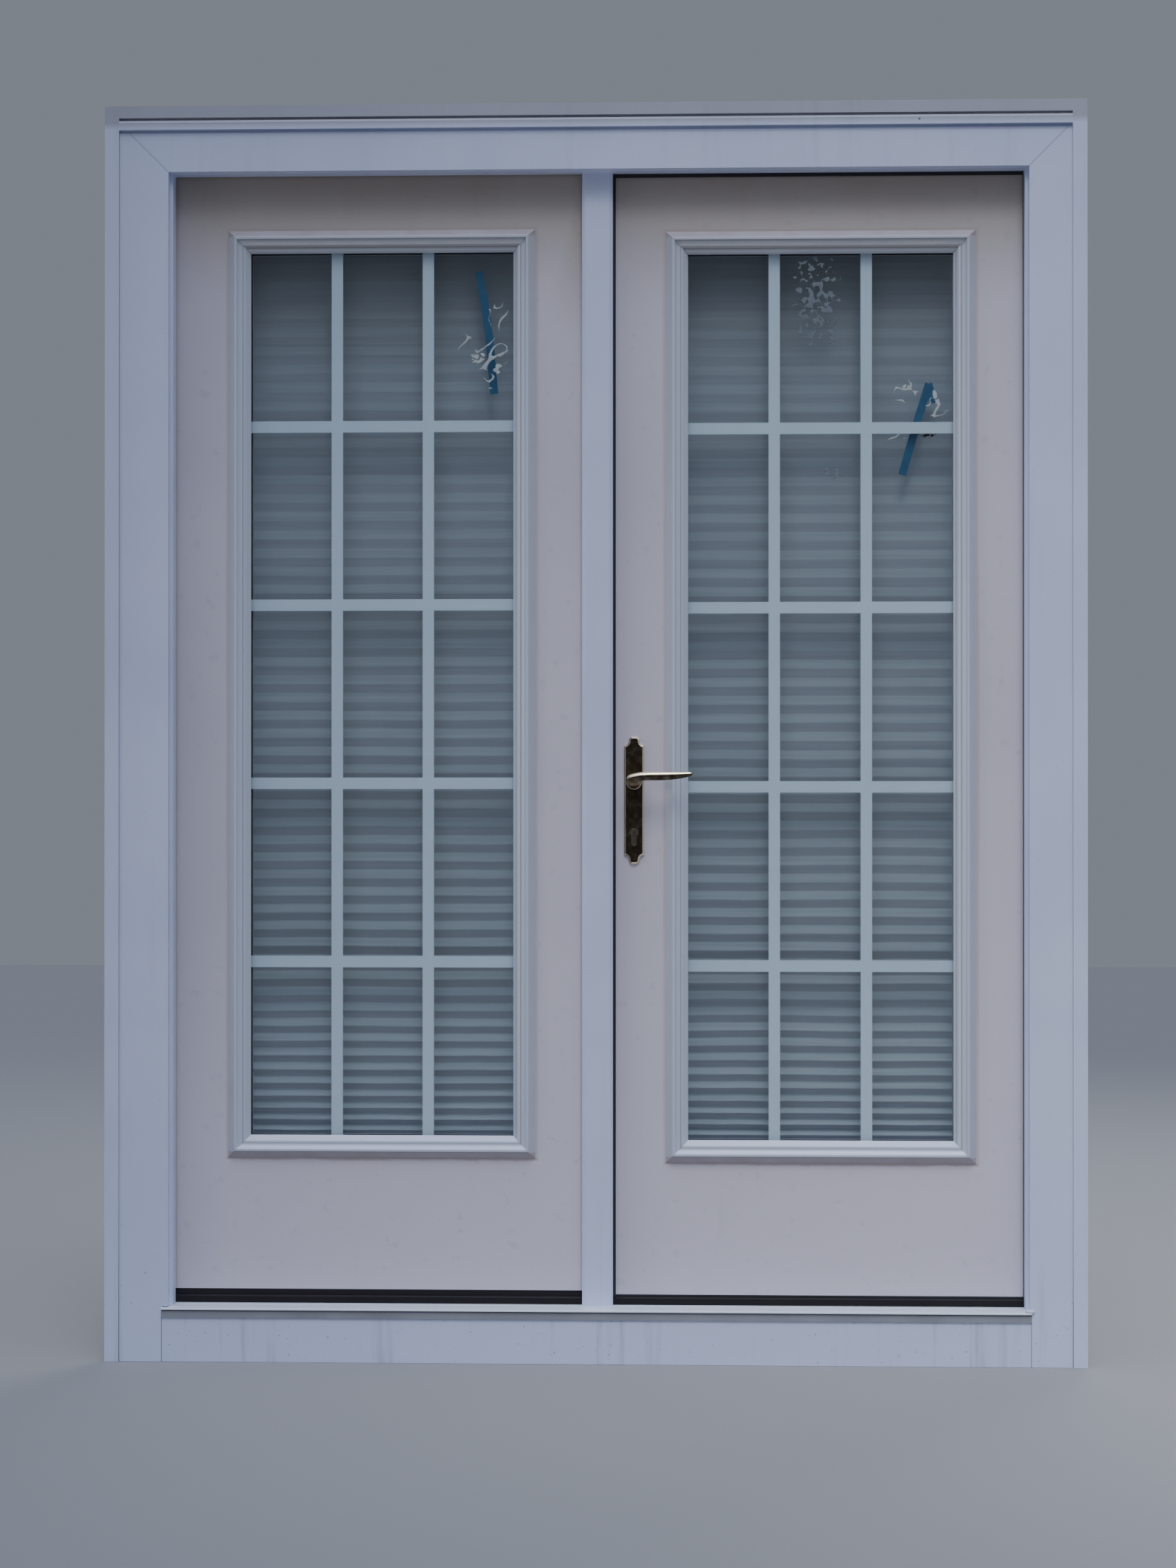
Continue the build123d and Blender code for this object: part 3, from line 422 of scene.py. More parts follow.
def makeLiteFrame(side):
    v = liteFrame
    low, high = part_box(side + "_outer_lite_frame")
    middle = (low + high) / 2
    reach = (high - low) / 2
    plastic = Finish(side + "LiteFrame")
    x = plastic.axis("X")
    z = plastic.axis("Z")
    fromSide = reach.x - abs(x - middle.x)
    fromEnd = reach.z - abs(z - middle.z)
    colour = plastic.blend(plastic.noise(scale=5.0, detail=3.0) * 0.35, v["colour"], v["shade"])
    mitre = abs(fromSide - fromEnd) < v["mitre"]
    # a painted shadow line under the frame's step
    stepShadow = abs(fromEnd.under(fromSide) - v["stepShadow"]) < v["stepShadowWidth"] / 2
    seams = mitre * v["mitreShare"] + stepShadow * v["stepShadowShare"]
    colour = plastic.blend(seams, colour, v["seamColour"])
    # painted shade on the top bar
    top = plastic.fade(z, high.z - v["topReach"], high.z) * v["topShare"]
    colour = plastic.blend(top, colour, v["topShade"])
    # painted light on faces that look up
    tilt = plastic.axis("Z", plastic.add("TexCoord", out="Normal"))
    lightTone = plastic.fade(tilt, *v["lightTilts"]) * v["lightShare"]
    colour = plastic.blend(lightTone, colour, v["lightTone"])
    # painted shade on faces that look down, most of it in two lines
    first, second = (plastic.fade(abs(fromEnd - distance), start, full)
                     for distance, start, full in v["lines"])
    under = plastic.fade(tilt, *v["underTilts"])
    under = under * (v["underShare"] + first.over(second) * v["lineShare"])
    colour = plastic.blend(under, colour, v["under"])
    # painted shade and dirt in the outer cove
    onSides, onEnds = v["coveShares"]
    cove = plastic.fade(fromSide, *v["cove"]) * onSides
    cove = cove.over(plastic.fade(fromEnd, *v["cove"]) * onEnds)
    cloudy = 0.7 + plastic.noise(scale=24.0, detail=3.0) * 0.6
    colour = plastic.blend(cove * cloudy, colour, v["dirt"])
    # painted highlights and painted shadow lines on the top and right bars
    bars = {"top": (fromEnd, (fromEnd < fromSide) * (z > middle.z)),
            "right": (fromSide, (fromSide < fromEnd) * (x > middle.x))}
    patchy = 0.55 + plastic.noise(scale=30.0, detail=4.0) * 0.9
    for bar, distance, halfWidth, tone, share in v["stripes"]:
        inward, inBar = bars[bar]
        stripe = plastic.fade(abs(inward - distance), halfWidth, halfWidth * 0.5) * inBar * share
        colour = plastic.blend(stripe * patchy, colour, v[tone])
    speck = plastic.fade(plastic.noise(scale=120.0, detail=3.0), 0.68, 0.76) * v["speckShare"]
    colour = plastic.blend(speck, colour, v["speck"])
    height = plastic.noise(scale=80.0) - mitre * 2.0
    bump = plastic.bumped(height, distance=0.00015, strength=0.5)
    return plastic.done(plastic.surface(Base_Color=colour, Roughness=v["roughness"], Normal=bump))


def plainFinish(name, colour, roughness, metallic=0.0, mottled=0.15, scale=20.0, depth=0.0002,
                shine=0.5):
    # one tone with darker clouds and a fine unevenness
    made = Finish(name)
    cloud = made.noise(scale, detail=4.0)
    darker = tuple(part * (1 - mottled) for part in colour)
    tone = made.blend(cloud, colour, darker)
    rough = roughness + cloud * 0.1 - 0.05
    bump = made.bumped(made.noise(scale * 8, detail=3.0), depth, strength=0.4)
    return made.done(made.surface(Base_Color=tone, Roughness=rough, Metallic=metallic, Normal=bump,
                                  Specular_IOR_Level=shine))


brassFinish = {
    "bright": (1.0, 0.83, 0.57),
    "aged": (0.050, 0.034, 0.020),
    "handled": (0.150, 0.110, 0.085),
    "boss": (0.26, 0.175, 0.095),  # round the lever's axis
    "flatFaces": (0.965, 0.995),  # faces that look straight out more than this are dark
    "belly": (0.42, 0.16),  # a lever's faces that look up less than this are dark too: painted shade on its underside
    "bellyShare": 0.84,
    "roughness": 0.20,
    "agedRoughness": 0.42,
    "edge": 0.0007,
}


def makeBrass(name, aged, belly=False):
    v = brassFinish
    brass = Finish(name)
    # flat faces have gone dark and hands keep the edges bright, and a lever's top stays bright
    # while its underside gets painted shade
    normal = brass.add("TexCoord", out="Normal")
    wear = brass.fade(brass.noise(scale=70.0, detail=4.0, rough=0.6), 0.20, 0.62)
    dark = brass.fade(abs(brass.axis("Y", normal)), *v["flatFaces"])
    tone = v[aged]
    if belly:
        spindleLow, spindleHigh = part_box("spindle")
        height = brass.axis("Z") - (spindleLow.z + spindleHigh.z) / 2
        tone = brass.blend(brass.fade(height, 0.003, -0.002), v[aged], v["boss"])
        # painted shade on the lever's underside
        under = brass.fade(brass.axis("Z", normal), *v["belly"])
        dark = dark.over(under * (v["bellyShare"] + wear * 0.14))
    dark = dark * (0.92 + wear * 0.08)
    colour = brass.blend(dark, v["bright"], tone)
    fine = brass.noise(scale=400.0, detail=3.0)
    rough = v["roughness"] + dark * (v["agedRoughness"] - v["roughness"]) + fine * 0.08
    bump = brass.bumped(fine, distance=0.00006, strength=0.4, normal=brass.rounded(v["edge"]))
    return brass.done(brass.surface(Base_Color=colour, Roughness=rough, Metallic=1.0, Normal=bump))


glassPane = {
    "mirror": (0.86, 0.92, 0.98),
    "mirrorRoughness": 0.03,
    "mirrorShare": 0.35,  # of the true reflection of one surface, because each pane has two
    "clear": (0.992, 0.996, 0.996),
    "index": 1.5,
    "dustAndShade": 0.02,
}


def makeGlass():
    v = glassPane
    glass = Finish("clearGlass")
    dustAndShade = glass.fade(glass.noise(scale=5.0, detail=2.0, rough=0.6), 0.45, 0.85) * v["dustAndShade"]
    facing = glass.add("Fresnel", {}, {"IOR": v["index"]})
    share = facing * v["mirrorShare"] + dustAndShade
    mirror = glass.surface(Base_Color=v["mirror"], Metallic=1.0, Roughness=v["mirrorRoughness"])
    clear = glass.add("BsdfTransparent", {}, {"Color": v["clear"]})
    return glass.done(glass.add("MixShader", {}, {0: share, 1: clear, 2: mirror}))


shadeCloth = {
    "upper": (0.66, 0.765, 0.785),  # painted light on the faces of the folds that look up
    # painted shade on the faces of the folds that look down
    "lower": (0.59, 0.60, 0.64),
    "thread": (0.46, 0.50, 0.54),
    "threadShares": (0.35, 0.5),  # in the weave, and in its uneven rows
    "railShade": (0.22, 0.21, 0.175),  # painted shade near the headrail
    "railShadeReach": (0.30, 0.04),  # below the cloth's top, where it starts and where it is full
    "railShadeShare": 0.5,
    "weave": 230.0,
    "pitch": 0.0340,  # one fold out and back, at the top
    "pleat": 0.0171,  # width of the cloth from one fold to the next
    "sink": (0.004, 0.015),  # how its own weight has closed the folds, steadily and near the foot
    "crease": 0.0014,  # how much of each fold is rounded
    "cells": 26,
    "sway": 0.0009,
    "swayEdge": 0.03,  # it dies out this far from the rails
    "thickness": 0.0006,
}


def makeCloth():
    v = shadeCloth
    cloth = Finish("shadeCloth")
    warp, weft = (cloth.add("TexWave", {"bands_direction": letter},
                            {"Vector": cloth.coords(), "Scale": v["weave"], "Distortion": 1.5})
                  for letter in ("X", "Z"))
    web = warp * weft
    # painted light on the faces that look up, painted shade on those that look down
    up = cloth.fade(cloth.axis("Z", cloth.add("TexCoord", out="Normal")), -0.9, 0.9)
    tone = cloth.blend(up, v["lower"], v["upper"])
    rows = cloth.noise(scale=9.0, detail=4.0, rough=0.65, vector=cloth.stretched((0.25, 1.0, 12.0)))
    inWeave, inRows = v["threadShares"]
    thread = web * inWeave + cloth.fade(rows, 0.35, 0.75) * inRows
    tone = cloth.blend(thread, tone, v["thread"])
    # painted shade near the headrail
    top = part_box("active_shade_fabric")[1].z
    start, full = (top - below for below in v["railShadeReach"])
    tone = cloth.blend(cloth.fade(cloth.axis("Z"), start, full) * v["railShadeShare"], tone, v["railShade"])
    bump = cloth.bumped(web + cloth.noise(scale=60.0) * 2.0, distance=0.0003, strength=0.4)
    return cloth.done(cloth.surface(Base_Color=tone, Roughness=0.85, Normal=bump))


def foldHeights(top, low):
    # the folds hang open above and close up towards the bottom rail under the cloth's own weight
    v = shadeCloth
    steady, foot = v["sink"]
    heights = [top]
    while True:
        done = (top - heights[-1]) / (top - low)
        fall = (v["pitch"] - steady * done ** 2 - foot * done ** 10) / 2
        if heights[-1] - fall * 1.5 < low:
            return heights + [low]
        heights.append(heights[-1] - fall)


def makeShade(side, material):
    v = shadeCloth
    low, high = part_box(side + "_shade_fabric")
    heights = foldHeights(high.z, low.z)
    middle = (low.y + high.y) / 2
    deepest = (high.y - low.y) / 2 - v["thickness"]
    shape = bmesh.new()
    line = []
    for n, z in enumerate(heights):
        fall = z - heights[n + 1] if n + 1 < len(heights) else heights[n - 1] - z
        depth = min(deepest, max(0.0, v["pleat"] ** 2 - fall ** 2) ** 0.5 / 2)
        line.append(shape.verts.new((low.x, middle + depth * (-1) ** n, z)))
    edges = [shape.edges.new(pair) for pair in zip(line, line[1:])]
    step = (high.x - low.x) / v["cells"]
    for _ in range(v["cells"]):
        grown = bmesh.ops.extrude_edge_only(shape, edges=edges)["geom"]
        edges = [item for item in grown if isinstance(item, bmesh.types.BMEdge)
                 and abs(item.verts[0].co.z - item.verts[1].co.z) > 1e-5]
        moved = {vert for edge in edges for vert in edge.verts}
        bmesh.ops.translate(shape, verts=list(moved), vec=(step, 0, 0))
    folds = [edge for edge in shape.edges if abs(edge.verts[0].co.x - edge.verts[1].co.x) > step / 2
             and high.z - 1e-4 > edge.verts[0].co.z > low.z + 1e-4]
    bmesh.ops.bevel(shape, geom=folds, offset=v["crease"], segments=2, profile=0.5, affect="EDGES",
                    material=-1)
    for vert in shape.verts:
        wave = noise.noise(Vector((vert.co.x * 5, 0, vert.co.z * 7)))
        small = noise.noise(Vector((vert.co.x * 21, vert.co.y * 30, vert.co.z * 16)))
        toRail = min(high.z - vert.co.z, vert.co.z - low.z)
        edge = min(1.0, toRail / v["swayEdge"])
        vert.co.z += v["sway"] * edge * (1.6 * wave + 0.7 * small)
        vert.co.y += 0.25 * v["sway"] * small
    bmesh.ops.recalc_face_normals(shape, faces=shape.faces)
    cloth = piece(side + "PleatedShade", shape, material, bodyOf[side], smooth=True)
    thicken(cloth, v["thickness"])
    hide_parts(side + "_shade_fabric")


leverShape = {
    # along the lever from its axis, height of the middle above the axis, half depth, half height
    "rows": (
        (-0.0128, 0.0010, 0.0030, 0.0046), (-0.0106, 0.0036, 0.0055, 0.0070),
        (-0.0063, 0.0052, 0.0070, 0.0080), (0.0020, 0.0073, 0.0078, 0.0086),
        (0.0140, 0.0099, 0.0074, 0.0078), (0.0340, 0.0100, 0.0064, 0.0078),
        (0.0580, 0.0100, 0.0056, 0.0078), (0.0800, 0.0111, 0.0049, 0.0067),
        (0.0960, 0.0126, 0.0043, 0.0050), (0.1035, 0.0136, 0.0034, 0.0036),
        (0.1062, 0.0140, 0.0018, 0.0018),
    ),
    "segments": 20,
    # the neck's radius at these distances in front of its plate's collar
    "neck": ((0.0132, 0.0006), (0.0126, 0.0020), (0.0104, 0.0065), (0.0086, 0.0145),
             (0.0080, 0.0245), (0.0084, 0.0325)),
    "neckSink": 0.0002,  # into the collar
    "neckSteps": 36,
    "inset": 0.008,  # from the end of the lever's reach to the middle of its grip
}


def makeLever(node, plate, material, outward):
    # outward is -1 on the outer side of the leaf and 1 on the inner side
    v = leverShape
    spindleLow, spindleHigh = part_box("spindle")
    axis = (spindleLow + spindleHigh) / 2
    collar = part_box(plate)[0 if outward < 0 else 1].y
    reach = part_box(node)[0 if outward < 0 else 1].y
    gripY = reach - outward * v["inset"]
    shape = bmesh.new()
    rings = []
    for along, height, halfY, halfZ in v["rows"]:
        place = Matrix.Translation((axis.x + along, gripY, axis.z + height))
        oval = Matrix.Diagonal((1, halfY, halfZ, 1)) @ Matrix.Rotation(pi / 2, 4, "Y")
        ring = bmesh.ops.create_circle(shape, cap_ends=False, segments=v["segments"], radius=1.0,
                                       matrix=place @ oval)
        rings.append(ring["verts"])
    for first, second in zip(rings, rings[1:]):
        for n in range(v["segments"]):
            shape.faces.new((first[n - 1], first[n], second[n], second[n - 1]))
    for ring in (rings[0], rings[-1]):
        shape.faces.new(ring)
    profile = [shape.verts.new((axis.x + radius, collar + outward * ahead, axis.z))
               for radius, ahead in v["neck"]]
    foot = (axis.x + v["neck"][0][0], collar - outward * v["neckSink"], axis.z)
    profile.insert(0, shape.verts.new(foot))
    line = [shape.edges.new(pair) for pair in zip(profile, profile[1:])]
    bmesh.ops.spin(shape, geom=profile + line, cent=(axis.x, collar, axis.z), axis=(0, 1, 0),
                   angle=2 * pi, steps=v["neckSteps"], use_merge=True)
    bmesh.ops.holes_fill(shape, edges=[edge for edge in shape.edges if edge.is_boundary], sides=0)
    bmesh.ops.recalc_face_normals(shape, faces=shape.faces)
    lever = piece(node.replace("_l", "L"), shape, material, "levers", smooth=True)
    soft = lever.modifiers.new("softened", "SUBSURF")
    soft.levels = soft.render_levels = 2
    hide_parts(node)


keyPlug = {
    "radius": 0.0066,
    "proud": 0.0004,
    "slot": (0.0015, 0.0072),
    "pin": 0.0022,
    "slotProud": 0.00015,
    "slotDepth": 0.0002,
}


def makeKeyway(brass, dark):
    v = keyPlug
    low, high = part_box("lock_cylinder")
    x = (low.x + high.x) / 2
    z = high.z - (high.x - low.x) / 2
    plug = bmesh.new()
    addDisc(plug, (x, low.y, z), v["radius"], v["proud"] * 2, segments=36)
    piece("keyPlug", plug, brass, "active_leaf")
    # a dark box stands in for the keyway: painted shade
    slot = bmesh.new()
    halfX, halfZ = (size / 2 for size in v["slot"])
    front = low.y - v["proud"]
    addBox(slot, (x - halfX, front - v["slotProud"], z - halfZ),
           (x + halfX, front + v["slotDepth"], z + halfZ))
    addDisc(slot, (x, front, z - halfZ), v["pin"] / 2, v["slotProud"] * 2, segments=16)
    piece("keyway", slot, dark, "active_leaf")


screwHead = {
    "radius": 0.0040,
    "proud": 0.0004,
    "slot": 0.0009,
    "slotLength": 0.7,  # of the head's width
    "slotDepth": 1.1,  # of the head's height
    # above the middle of the hinge, and in front of the leaf's back
    "places": ((-0.040, 0.021), (-0.016, 0.021), (-0.016, 0.010), (0.016, 0.021), (0.016, 0.010),
               (0.040, 0.021)),
    "hingesApart": 0.3,  # two hinges are further apart than this
}


def hingeCentres():
    # the hinge plates are three separate clusters of the door half's vertices
    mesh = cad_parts["hinge_door_leaves"].data
    heights = sorted({round(vert.co.z, 4) for vert in mesh.vertices})
    groups = [[heights[0]]]
    for value in heights[1:]:
        if value - groups[-1][-1] > screwHead["hingesApart"]:
            groups.append([value])
        else:
            groups[-1].append(value)
    return [(group[0] + group[-1]) / 2 for group in groups]


def makeHingeScrews(brass, dark):
    v = screwHead
    halfLength = v["radius"] * v["slotLength"]
    halfWidth = v["slot"] / 2
    halfDepth = v["proud"] * v["slotDepth"] / 2
    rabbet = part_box("head_jamb")[1].x
    for node, body, face, side in (("hinge_frame_leaves", "frame", rabbet, -1),
                                   ("hinge_door_leaves", "active_leaf", activeHigh.x, 1)):
        heads = bmesh.new()
        slots = bmesh.new()
        x = face + side * v["proud"] / 2
        for centre in hingeCentres():
            for above, inFront in v["places"]:
                y = activeHigh.y - inFront
                z = centre + above
                addDisc(heads, (x, y, z), v["radius"], v["proud"], axis="X")
                addBox(slots, (x - halfDepth, y - halfLength, z - halfWidth),
                       (x + halfDepth, y + halfLength, z + halfWidth))
        piece(node + "_screws", heads, brass, body)
        # the slots are dark boxes: painted shade
        piece(node + "_slots", slots, dark, body)


tapeStrips = {
    "width": 0.0145,
    "thickness": 0.0002,
    "gap": 0.0008,  # behind the inner pane
    "layer": 0.0004,  # the next strip lies this far behind
    "ruffle": 0.0012,
    # pixels of the photograph's frame, along the middle of each strip
    "fixed": (
        ((675.5, 383.0), (684.0, 431.0), (690.5, 478.0), (694.0, 520.0), (697.3, 556.0)),
    ),
    "active": (
        ((1310.5, 541.0), (1303.0, 566.0), (1295.5, 590.0), (1284.0, 630.0), (1272.7, 670.0)),
        ((1309.5, 541.0), (1313.5, 556.0), (1316.5, 569.0)),
    ),
}


def makeTape(side, material):
    v = tapeStrips
    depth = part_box(side + "_glass_panes")[1].y + v["gap"]
    for number, pixels in enumerate(v[side]):
        points = [seenAt(pixel, depth + v["layer"] * number) for pixel in pixels]
        shape = bmesh.new()
        length = sum((end - start).length for start, end in zip(points, points[1:]))
        rows = []
        for n, point in enumerate(points):
            run = (points[min(len(points) - 1, n + 1)] - points[max(0, n - 1)]).normalized()
            aside = Vector((run.z, 0, -run.x)) * v["width"] / 2
            lift = Vector((0, v["ruffle"] * sin(2.2 * n + number), 0))
            rows.append((shape.verts.new(point - aside + lift), shape.verts.new(point + aside)))
        for first, second in zip(rows, rows[1:]):
            shape.faces.new((first[0], first[1], second[1], second[0]))
        bmesh.ops.recalc_face_normals(shape, faces=shape.faces)
        strip = piece(f"{side}Tape{number + 1}", shape, material, bodyOf[side])
        thicken(strip, v["thickness"])


filmScraps = {
    "gap": 0.0003,  # in front of the outer pane
    "crumple": 0.0003,
    "thickness": 0.0001,
    "cell": 0.0008,
    # how each kind is torn: the scales of its noises, their shares and its limits
    "flakeTear": {"coarse": 150, "coarseShare": 0.9, "fine": 420, "fineShare": 0.4, "reach": 0.75,
                  "split": 95, "splitWidth": 0.08},
    "streaksTear": {"coarse": 45, "width": 0.12, "reach": 1.1},
    "dabsTear": {"coarse": 105, "fine": 300, "fineShare": 0.45, "least": -0.02, "thinning": 0.32},
    # kind, middle pixel in the photograph's frame, half length and half width, turn in radians
    "fixed": (
        ("flake", (675, 504), 0.016, 0.012, 0.5), ("flake", (702, 520), 0.012, 0.007, 1.2),
        ("flake", (708, 498), 0.015, 0.005, 0.6), ("streaks", (704, 448), 0.024, 0.030, 0.3),
        ("streaks", (694, 498), 0.042, 0.034, 0.5), ("streaks", (655, 485), 0.024, 0.018, -0.9),
        ("streaks", (693, 538), 0.018, 0.016, -1.0),
    ),
    "active": (
        ("flake", (1321, 562), 0.020, 0.0050, -1.2), ("flake", (1278, 547), 0.011, 0.006, 0.7),
        ("streaks", (1278, 552), 0.026, 0.024, 0.7), ("streaks", (1264, 621), 0.018, 0.018, 1.1),
        ("streaks", (1322, 575), 0.024, 0.020, -0.3),
    ),
    "marks": (
        ("dabs", (1152, 424), 0.044, 0.084, 0.0), ("dabs", (1173, 466), 0.012, 0.024, 0.0),
        ("dabs", (1178, 669), 0.022, 0.010, 0.0),
    ),
    # the tape's painted shadow: a dark flake behind the inner pane
    "wedge": (("flake", (1306, 613), 0.026, 0.0050, -0.08),),
}


def isTorn(kind, place, far):
    # far grows from 0 in the middle of the patch to 1 at its edge
    tear = filmScraps[kind + "Tear"]
    coarse = noise.noise(place * tear["coarse"])
    if kind == "streaks":
        return abs(coarse) > tear["width"] * (tear["reach"] - far)
    fine = noise.noise(place * tear["fine"]) * tear["fineShare"]
    if kind == "dabs":
        return coarse + fine < tear["thinning"] * far + tear["least"]
    split = abs(noise.noise(place * tear["split"])) < tear["splitWidth"]
    return split or far > tear["reach"] + coarse * tear["coarseShare"] + fine


def addScrap(shape, spot, depth):
    # a patch of film or marks, torn along a noise
    v = filmScraps
    kind, pixel, halfLong, halfWide, turn = spot
    place = Matrix.Translation(seenAt(pixel, depth))
    place = place @ Matrix.Rotation(-turn, 4, "Y") @ Matrix.Rotation(pi / 2, 4, "X")
    cells = [max(8, round(2 * half / v["cell"])) for half in (halfLong, halfWide)]
    grid = bmesh.ops.create_grid(shape, x_segments=cells[0], y_segments=cells[1], size=1.0,
                                 matrix=place @ Matrix.Diagonal((halfLong, halfWide, 1, 1)))
    torn = []
    back = place.inverted()
    for vert in grid["verts"]:
        flat = back @ vert.co
        far = (flat.x / halfLong) ** 2 + (flat.y / halfWide) ** 2
        if isTorn(kind, vert.co, far):
            torn.append(vert)
        vert.co.y += v["crumple"] * noise.noise(vert.co * 260)
    bmesh.ops.delete(shape, geom=torn, context="VERTS")
    loose = [vert for vert in shape.verts if not vert.link_faces]
    bmesh.ops.delete(shape, geom=loose, context="VERTS")


def makeScraps(name, side, spots, material, inner=False):
    v = filmScraps
    low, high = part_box(side + "_glass_panes")
    depth = high.y + v["gap"] if inner else low.y - v["gap"]
    shape = bmesh.new()
    for spot in spots:
        addScrap(shape, spot, depth)
    thicken(piece(name, shape, material, bodyOf[side], smooth=True), v["thickness"])


sealant = {
    "size": (0.009, 0.004, 0.0035),
    "inset": (0.004, 0.0005),  # behind the sill's nose and below its top
    "ragged": 0.0016,
}


def makeCaulk(material):
    # a smear of sealant where the right casing meets the sill
    v = sealant
    behind, below = v["inset"]
    corner = Vector((rightCasingLow.x, deckLow.y + behind, deckHigh.z - below))
    place = Matrix.Translation(corner) @ Matrix.Diagonal((*v["size"], 1))
    shape = bmesh.new()
    bmesh.ops.create_uvsphere(shape, u_segments=20, v_segments=12, radius=1.0, matrix=place)
    for vert in shape.verts:
        vert.co += vert.normal * v["ragged"] * noise.noise(vert.co * 220)
    piece("sillSealant", shape, material, "frame", smooth=True)


studio = {
    "floor": (0.37, 0.355, 0.34),
    "floorReach": 14.0,
    "floorDrop": 0.0005,
    "backdrop": (0.205, 0.225, 0.26),
    "sky": (1.555, 1.775, 2.36),
    "skyWay": (0.0, -0.33, 0.944),  # where the sky is brightest
    "horizon": (0.040, 0.045, 0.052),
    "keyPlace": (1.4, -4.6, 7.2),
    "keyTarget": (1.15, 0.0, 0.45),
    "keySize": 3.0,
    "keySpread": 0.56,
    "keyPower": 13.5,
    "rimPlace": (-3.8, -2.0, 1.5),
    "rimTarget": (1.1, 0.0, 1.05),
    "rimSize": 1.3,
    "rimSpread": 0.50,
    "rimPower": 1.1,
    "backPlace": (1.5, 4.0, 4.5),
    "backTarget": (0.0, 0.0, 1.2),
    "backSize": 3.0,
    "backSpread": 3.1,
    "backPower": 95.0,
    "lampColour": (0.88, 0.94, 1.0),
}


def makeLamp(lamp):
    v = studio
    light = bpy.data.lights.new(lamp + "Light", "AREA")
    light.energy = v[lamp + "Power"]
    light.size = v[lamp + "Size"]
    light.spread = v[lamp + "Spread"]
    light.color = v["lampColour"]
    thing = bpy.data.objects.new(lamp + "Light", light)
    place = Vector(v[lamp + "Place"])
    thing.location = place
    thing.rotation_euler = (Vector(v[lamp + "Target"]) - place).to_track_quat("-Z", "Y").to_euler()
    bpy.context.scene.collection.objects.link(thing)


def makeStudio():
    v = studio
    floor = bmesh.new()
    bmesh.ops.create_grid(floor, x_segments=1, y_segments=1, size=v["floorReach"])
    mesh = bpy.data.meshes.new("floor")
    floor.to_mesh(mesh)
    floor.free()
    mesh.materials.append(plainFinish("paleFloor", v["floor"], 0.7, mottled=0.02, scale=1.5))
    ground = bpy.data.objects.new("floor", mesh)
    ground.location = (0, 0, -v["floorDrop"])
    bpy.context.scene.collection.objects.link(ground)
    for lamp in ("key", "rim", "back"):
        makeLamp(lamp)
    # most light comes from high in front, as under an open sky, and the backdrop is plain
    world = bpy.data.worlds.new("studio")
    world.use_nodes = True
    bpy.context.scene.world = world
    air = Finish("studio", world.node_tree)
    way = air.add("TexCoord", out="Generated")
    lobe = air.add("VectorMath", {"operation": "DOT_PRODUCT"}, {0: way, 1: v["skyWay"]}, out=1)
    lobe = lobe.over(0.0)
    square = lobe * lobe
    light = air.blend(square * square, v["horizon"], v["sky"])
    seen = air.add("LightPath", out="Is Camera Ray")
    glow = air.add("Background", {}, {"Color": air.blend(seen, light, v["backdrop"])})
    air.add("OutputWorld", {}, {"Surface": glow})


makeCamera()

whitePaint = makeTrimPaint()
dress(whitePaint, "left_jamb", "right_jamb", "head_jamb", "centre_mullion", "left_casing",
      "right_casing", "head_casing", "apron_board", "drip_cap", "left_trim", "right_trim",
      "head_trim")
for side in ("fixed", "active"):
    dress(makeLeafPaint(side), side + "_slab")
    dress(makeLiteFrame(side), side + "_outer_lite_frame", side + "_inner_lite_frame")
dress(plainFinish("grilleWhite", (0.79, 0.92, 0.99), 0.35, mottled=0.04),
      "fixed_grille_bars", "active_grille_bars")
dress(makeGlass(), "fixed_glass_panes", "active_glass_panes")
dress(plainFinish("spacerMetal", (0.42, 0.42, 0.44), 0.4, metallic=1.0),
      "fixed_glass_spacer", "active_glass_spacer")
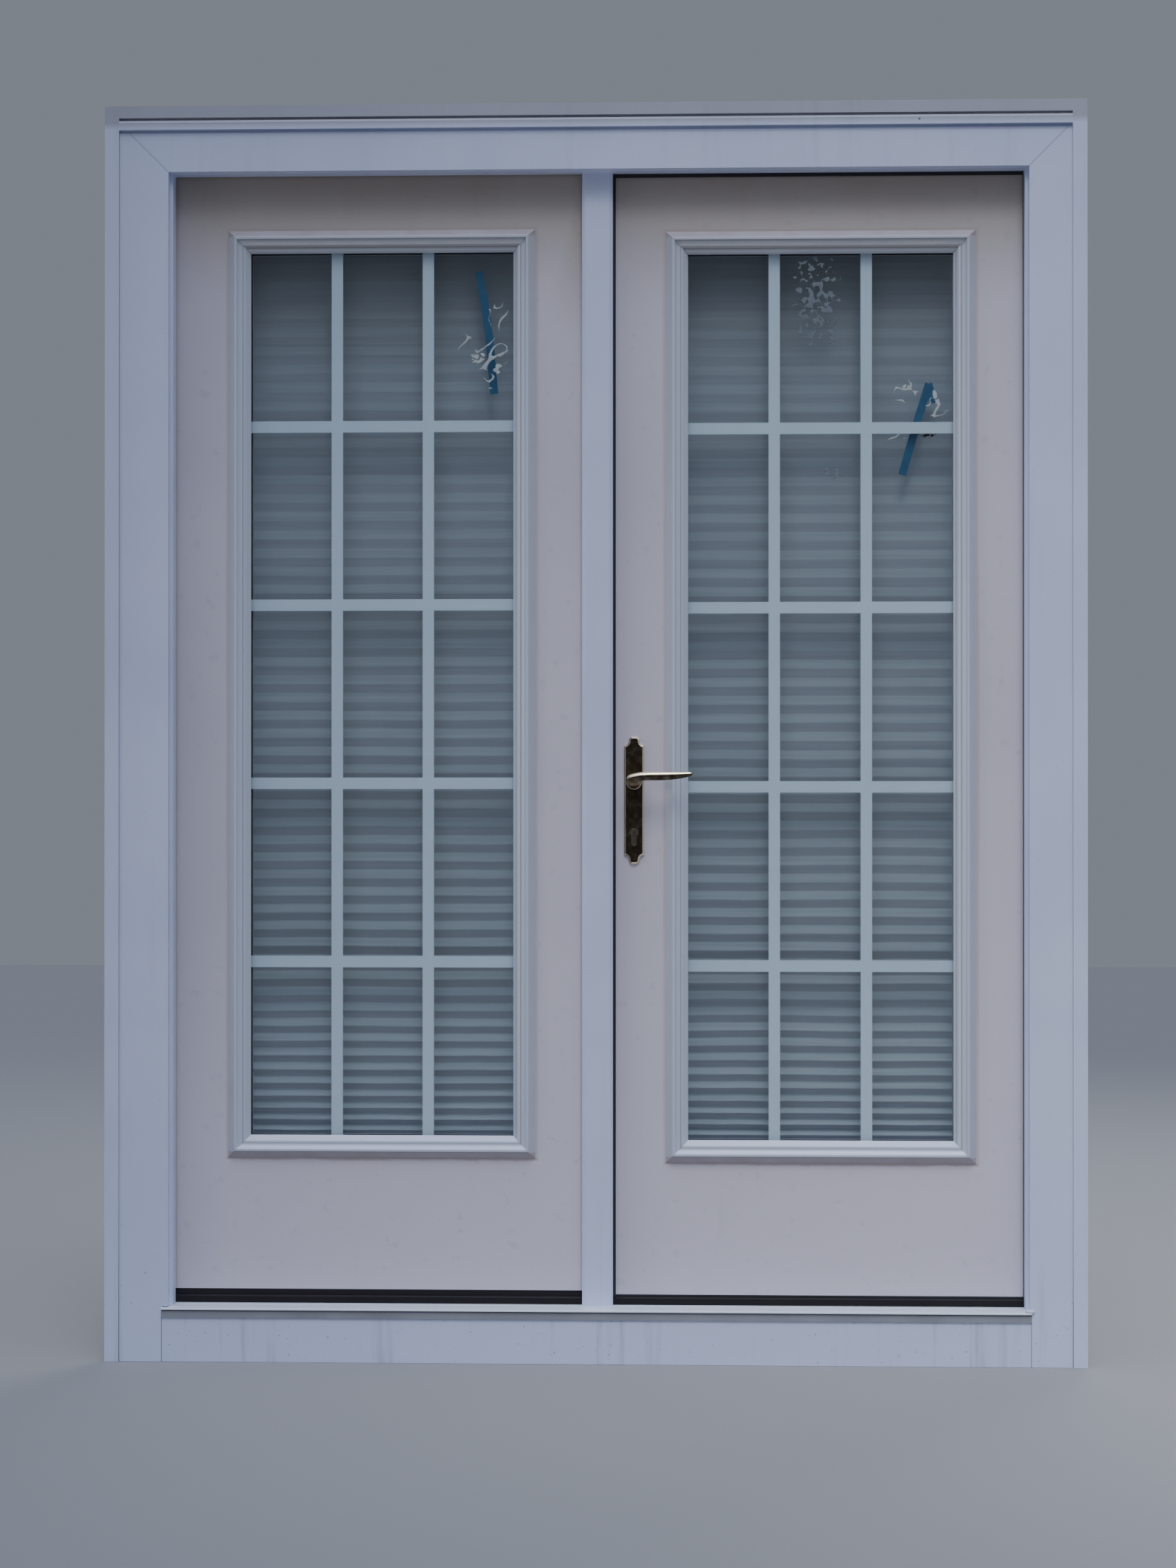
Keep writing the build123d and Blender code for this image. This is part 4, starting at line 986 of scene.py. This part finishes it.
# dark seal foam, which also serves as painted shade in the keyway, the screw slots and the tape's
# shadow
darkFoamAndShade = plainFinish("darkFoamAndShade", (0.030, 0.028, 0.032), 0.75, mottled=0.3)
dress(darkFoamAndShade, "hinge_seal", "latch_seal", "head_seal", "fixed_leaf_gasket", "door_sweep",
      "fixed_glazing_tapes", "active_glazing_tapes")
dress(plainFinish("darkThreshold", (0.016, 0.011, 0.013), 0.6, mottled=0.4, scale=9.0, shine=0.35),
      "threshold_cap", "fixed_leaf_block")
dress(plainFinish("sillMetal", (0.93, 0.95, 1.0), 0.34, mottled=0.06, scale=7.0), "sill_deck")
dress(plainFinish("sillWood", (0.40, 0.40, 0.42), 0.7, mottled=0.35, scale=14.0, depth=0.0006),
      "sill_base", "fixed_leaf_shims")
print("paints and sill")

agedBrass = makeBrass("agedBrass", "aged")
handledBrass = makeBrass("handledBrass", "handled")
leverBrass = makeBrass("leverBrass", "aged", belly=True)
dress(handledBrass, "lock_cylinder", "thumbturn")
dress(agedBrass, "outer_plate", "inner_plate", "outer_lever", "inner_lever", "hinge_frame_leaves",
      "hinge_door_leaves", "strike_plate", "lock_faceplate", "latch_bolt", "through_bolts")
dress(plainFinish("lockSteel", (0.48, 0.48, 0.49), 0.35, metallic=1.0),
      "lock_case", "spindle", "follower", "deadbolt")
makeLever("outer_lever", "outer_plate", leverBrass, -1)
makeLever("inner_lever", "inner_plate", leverBrass, 1)
makeKeyway(handledBrass, darkFoamAndShade)
makeHingeScrews(agedBrass, darkFoamAndShade)
print("lock, levers and hinges")

dress(plainFinish("shadeRail", (0.50, 0.55, 0.60), 0.45, mottled=0.08),
      "fixed_shade_headrail", "active_shade_headrail", "fixed_shade_bottom_rail",
      "active_shade_bottom_rail")
shadeFabric = makeCloth()
tapeBlue = plainFinish("blueTape", (0.070, 0.265, 0.47), 0.6, mottled=0.4, scale=60.0)
tornFilm = plainFinish("tornFilm", (0.60, 0.64, 0.61), 0.4, mottled=0.35, scale=150.0, depth=0.0008)
for side in ("fixed", "active"):
    makeShade(side, shadeFabric)
    makeTape(side, tapeBlue)
    makeScraps(side + "FilmScraps", side, filmScraps[side], tornFilm)
makeScraps("tapeShadow", "active", filmScraps["wedge"], darkFoamAndShade, inner=True)
handMark = plainFinish("handMark", (0.205, 0.235, 0.25), 0.7, mottled=0.3, scale=150.0)
makeScraps("handMarks", "active", filmScraps["marks"], handMark)
print("shades, tape and film")

makeCaulk(plainFinish("whiteSealant", (0.80, 0.82, 0.86), 0.5, mottled=0.1))
makeStudio()
print("studio")
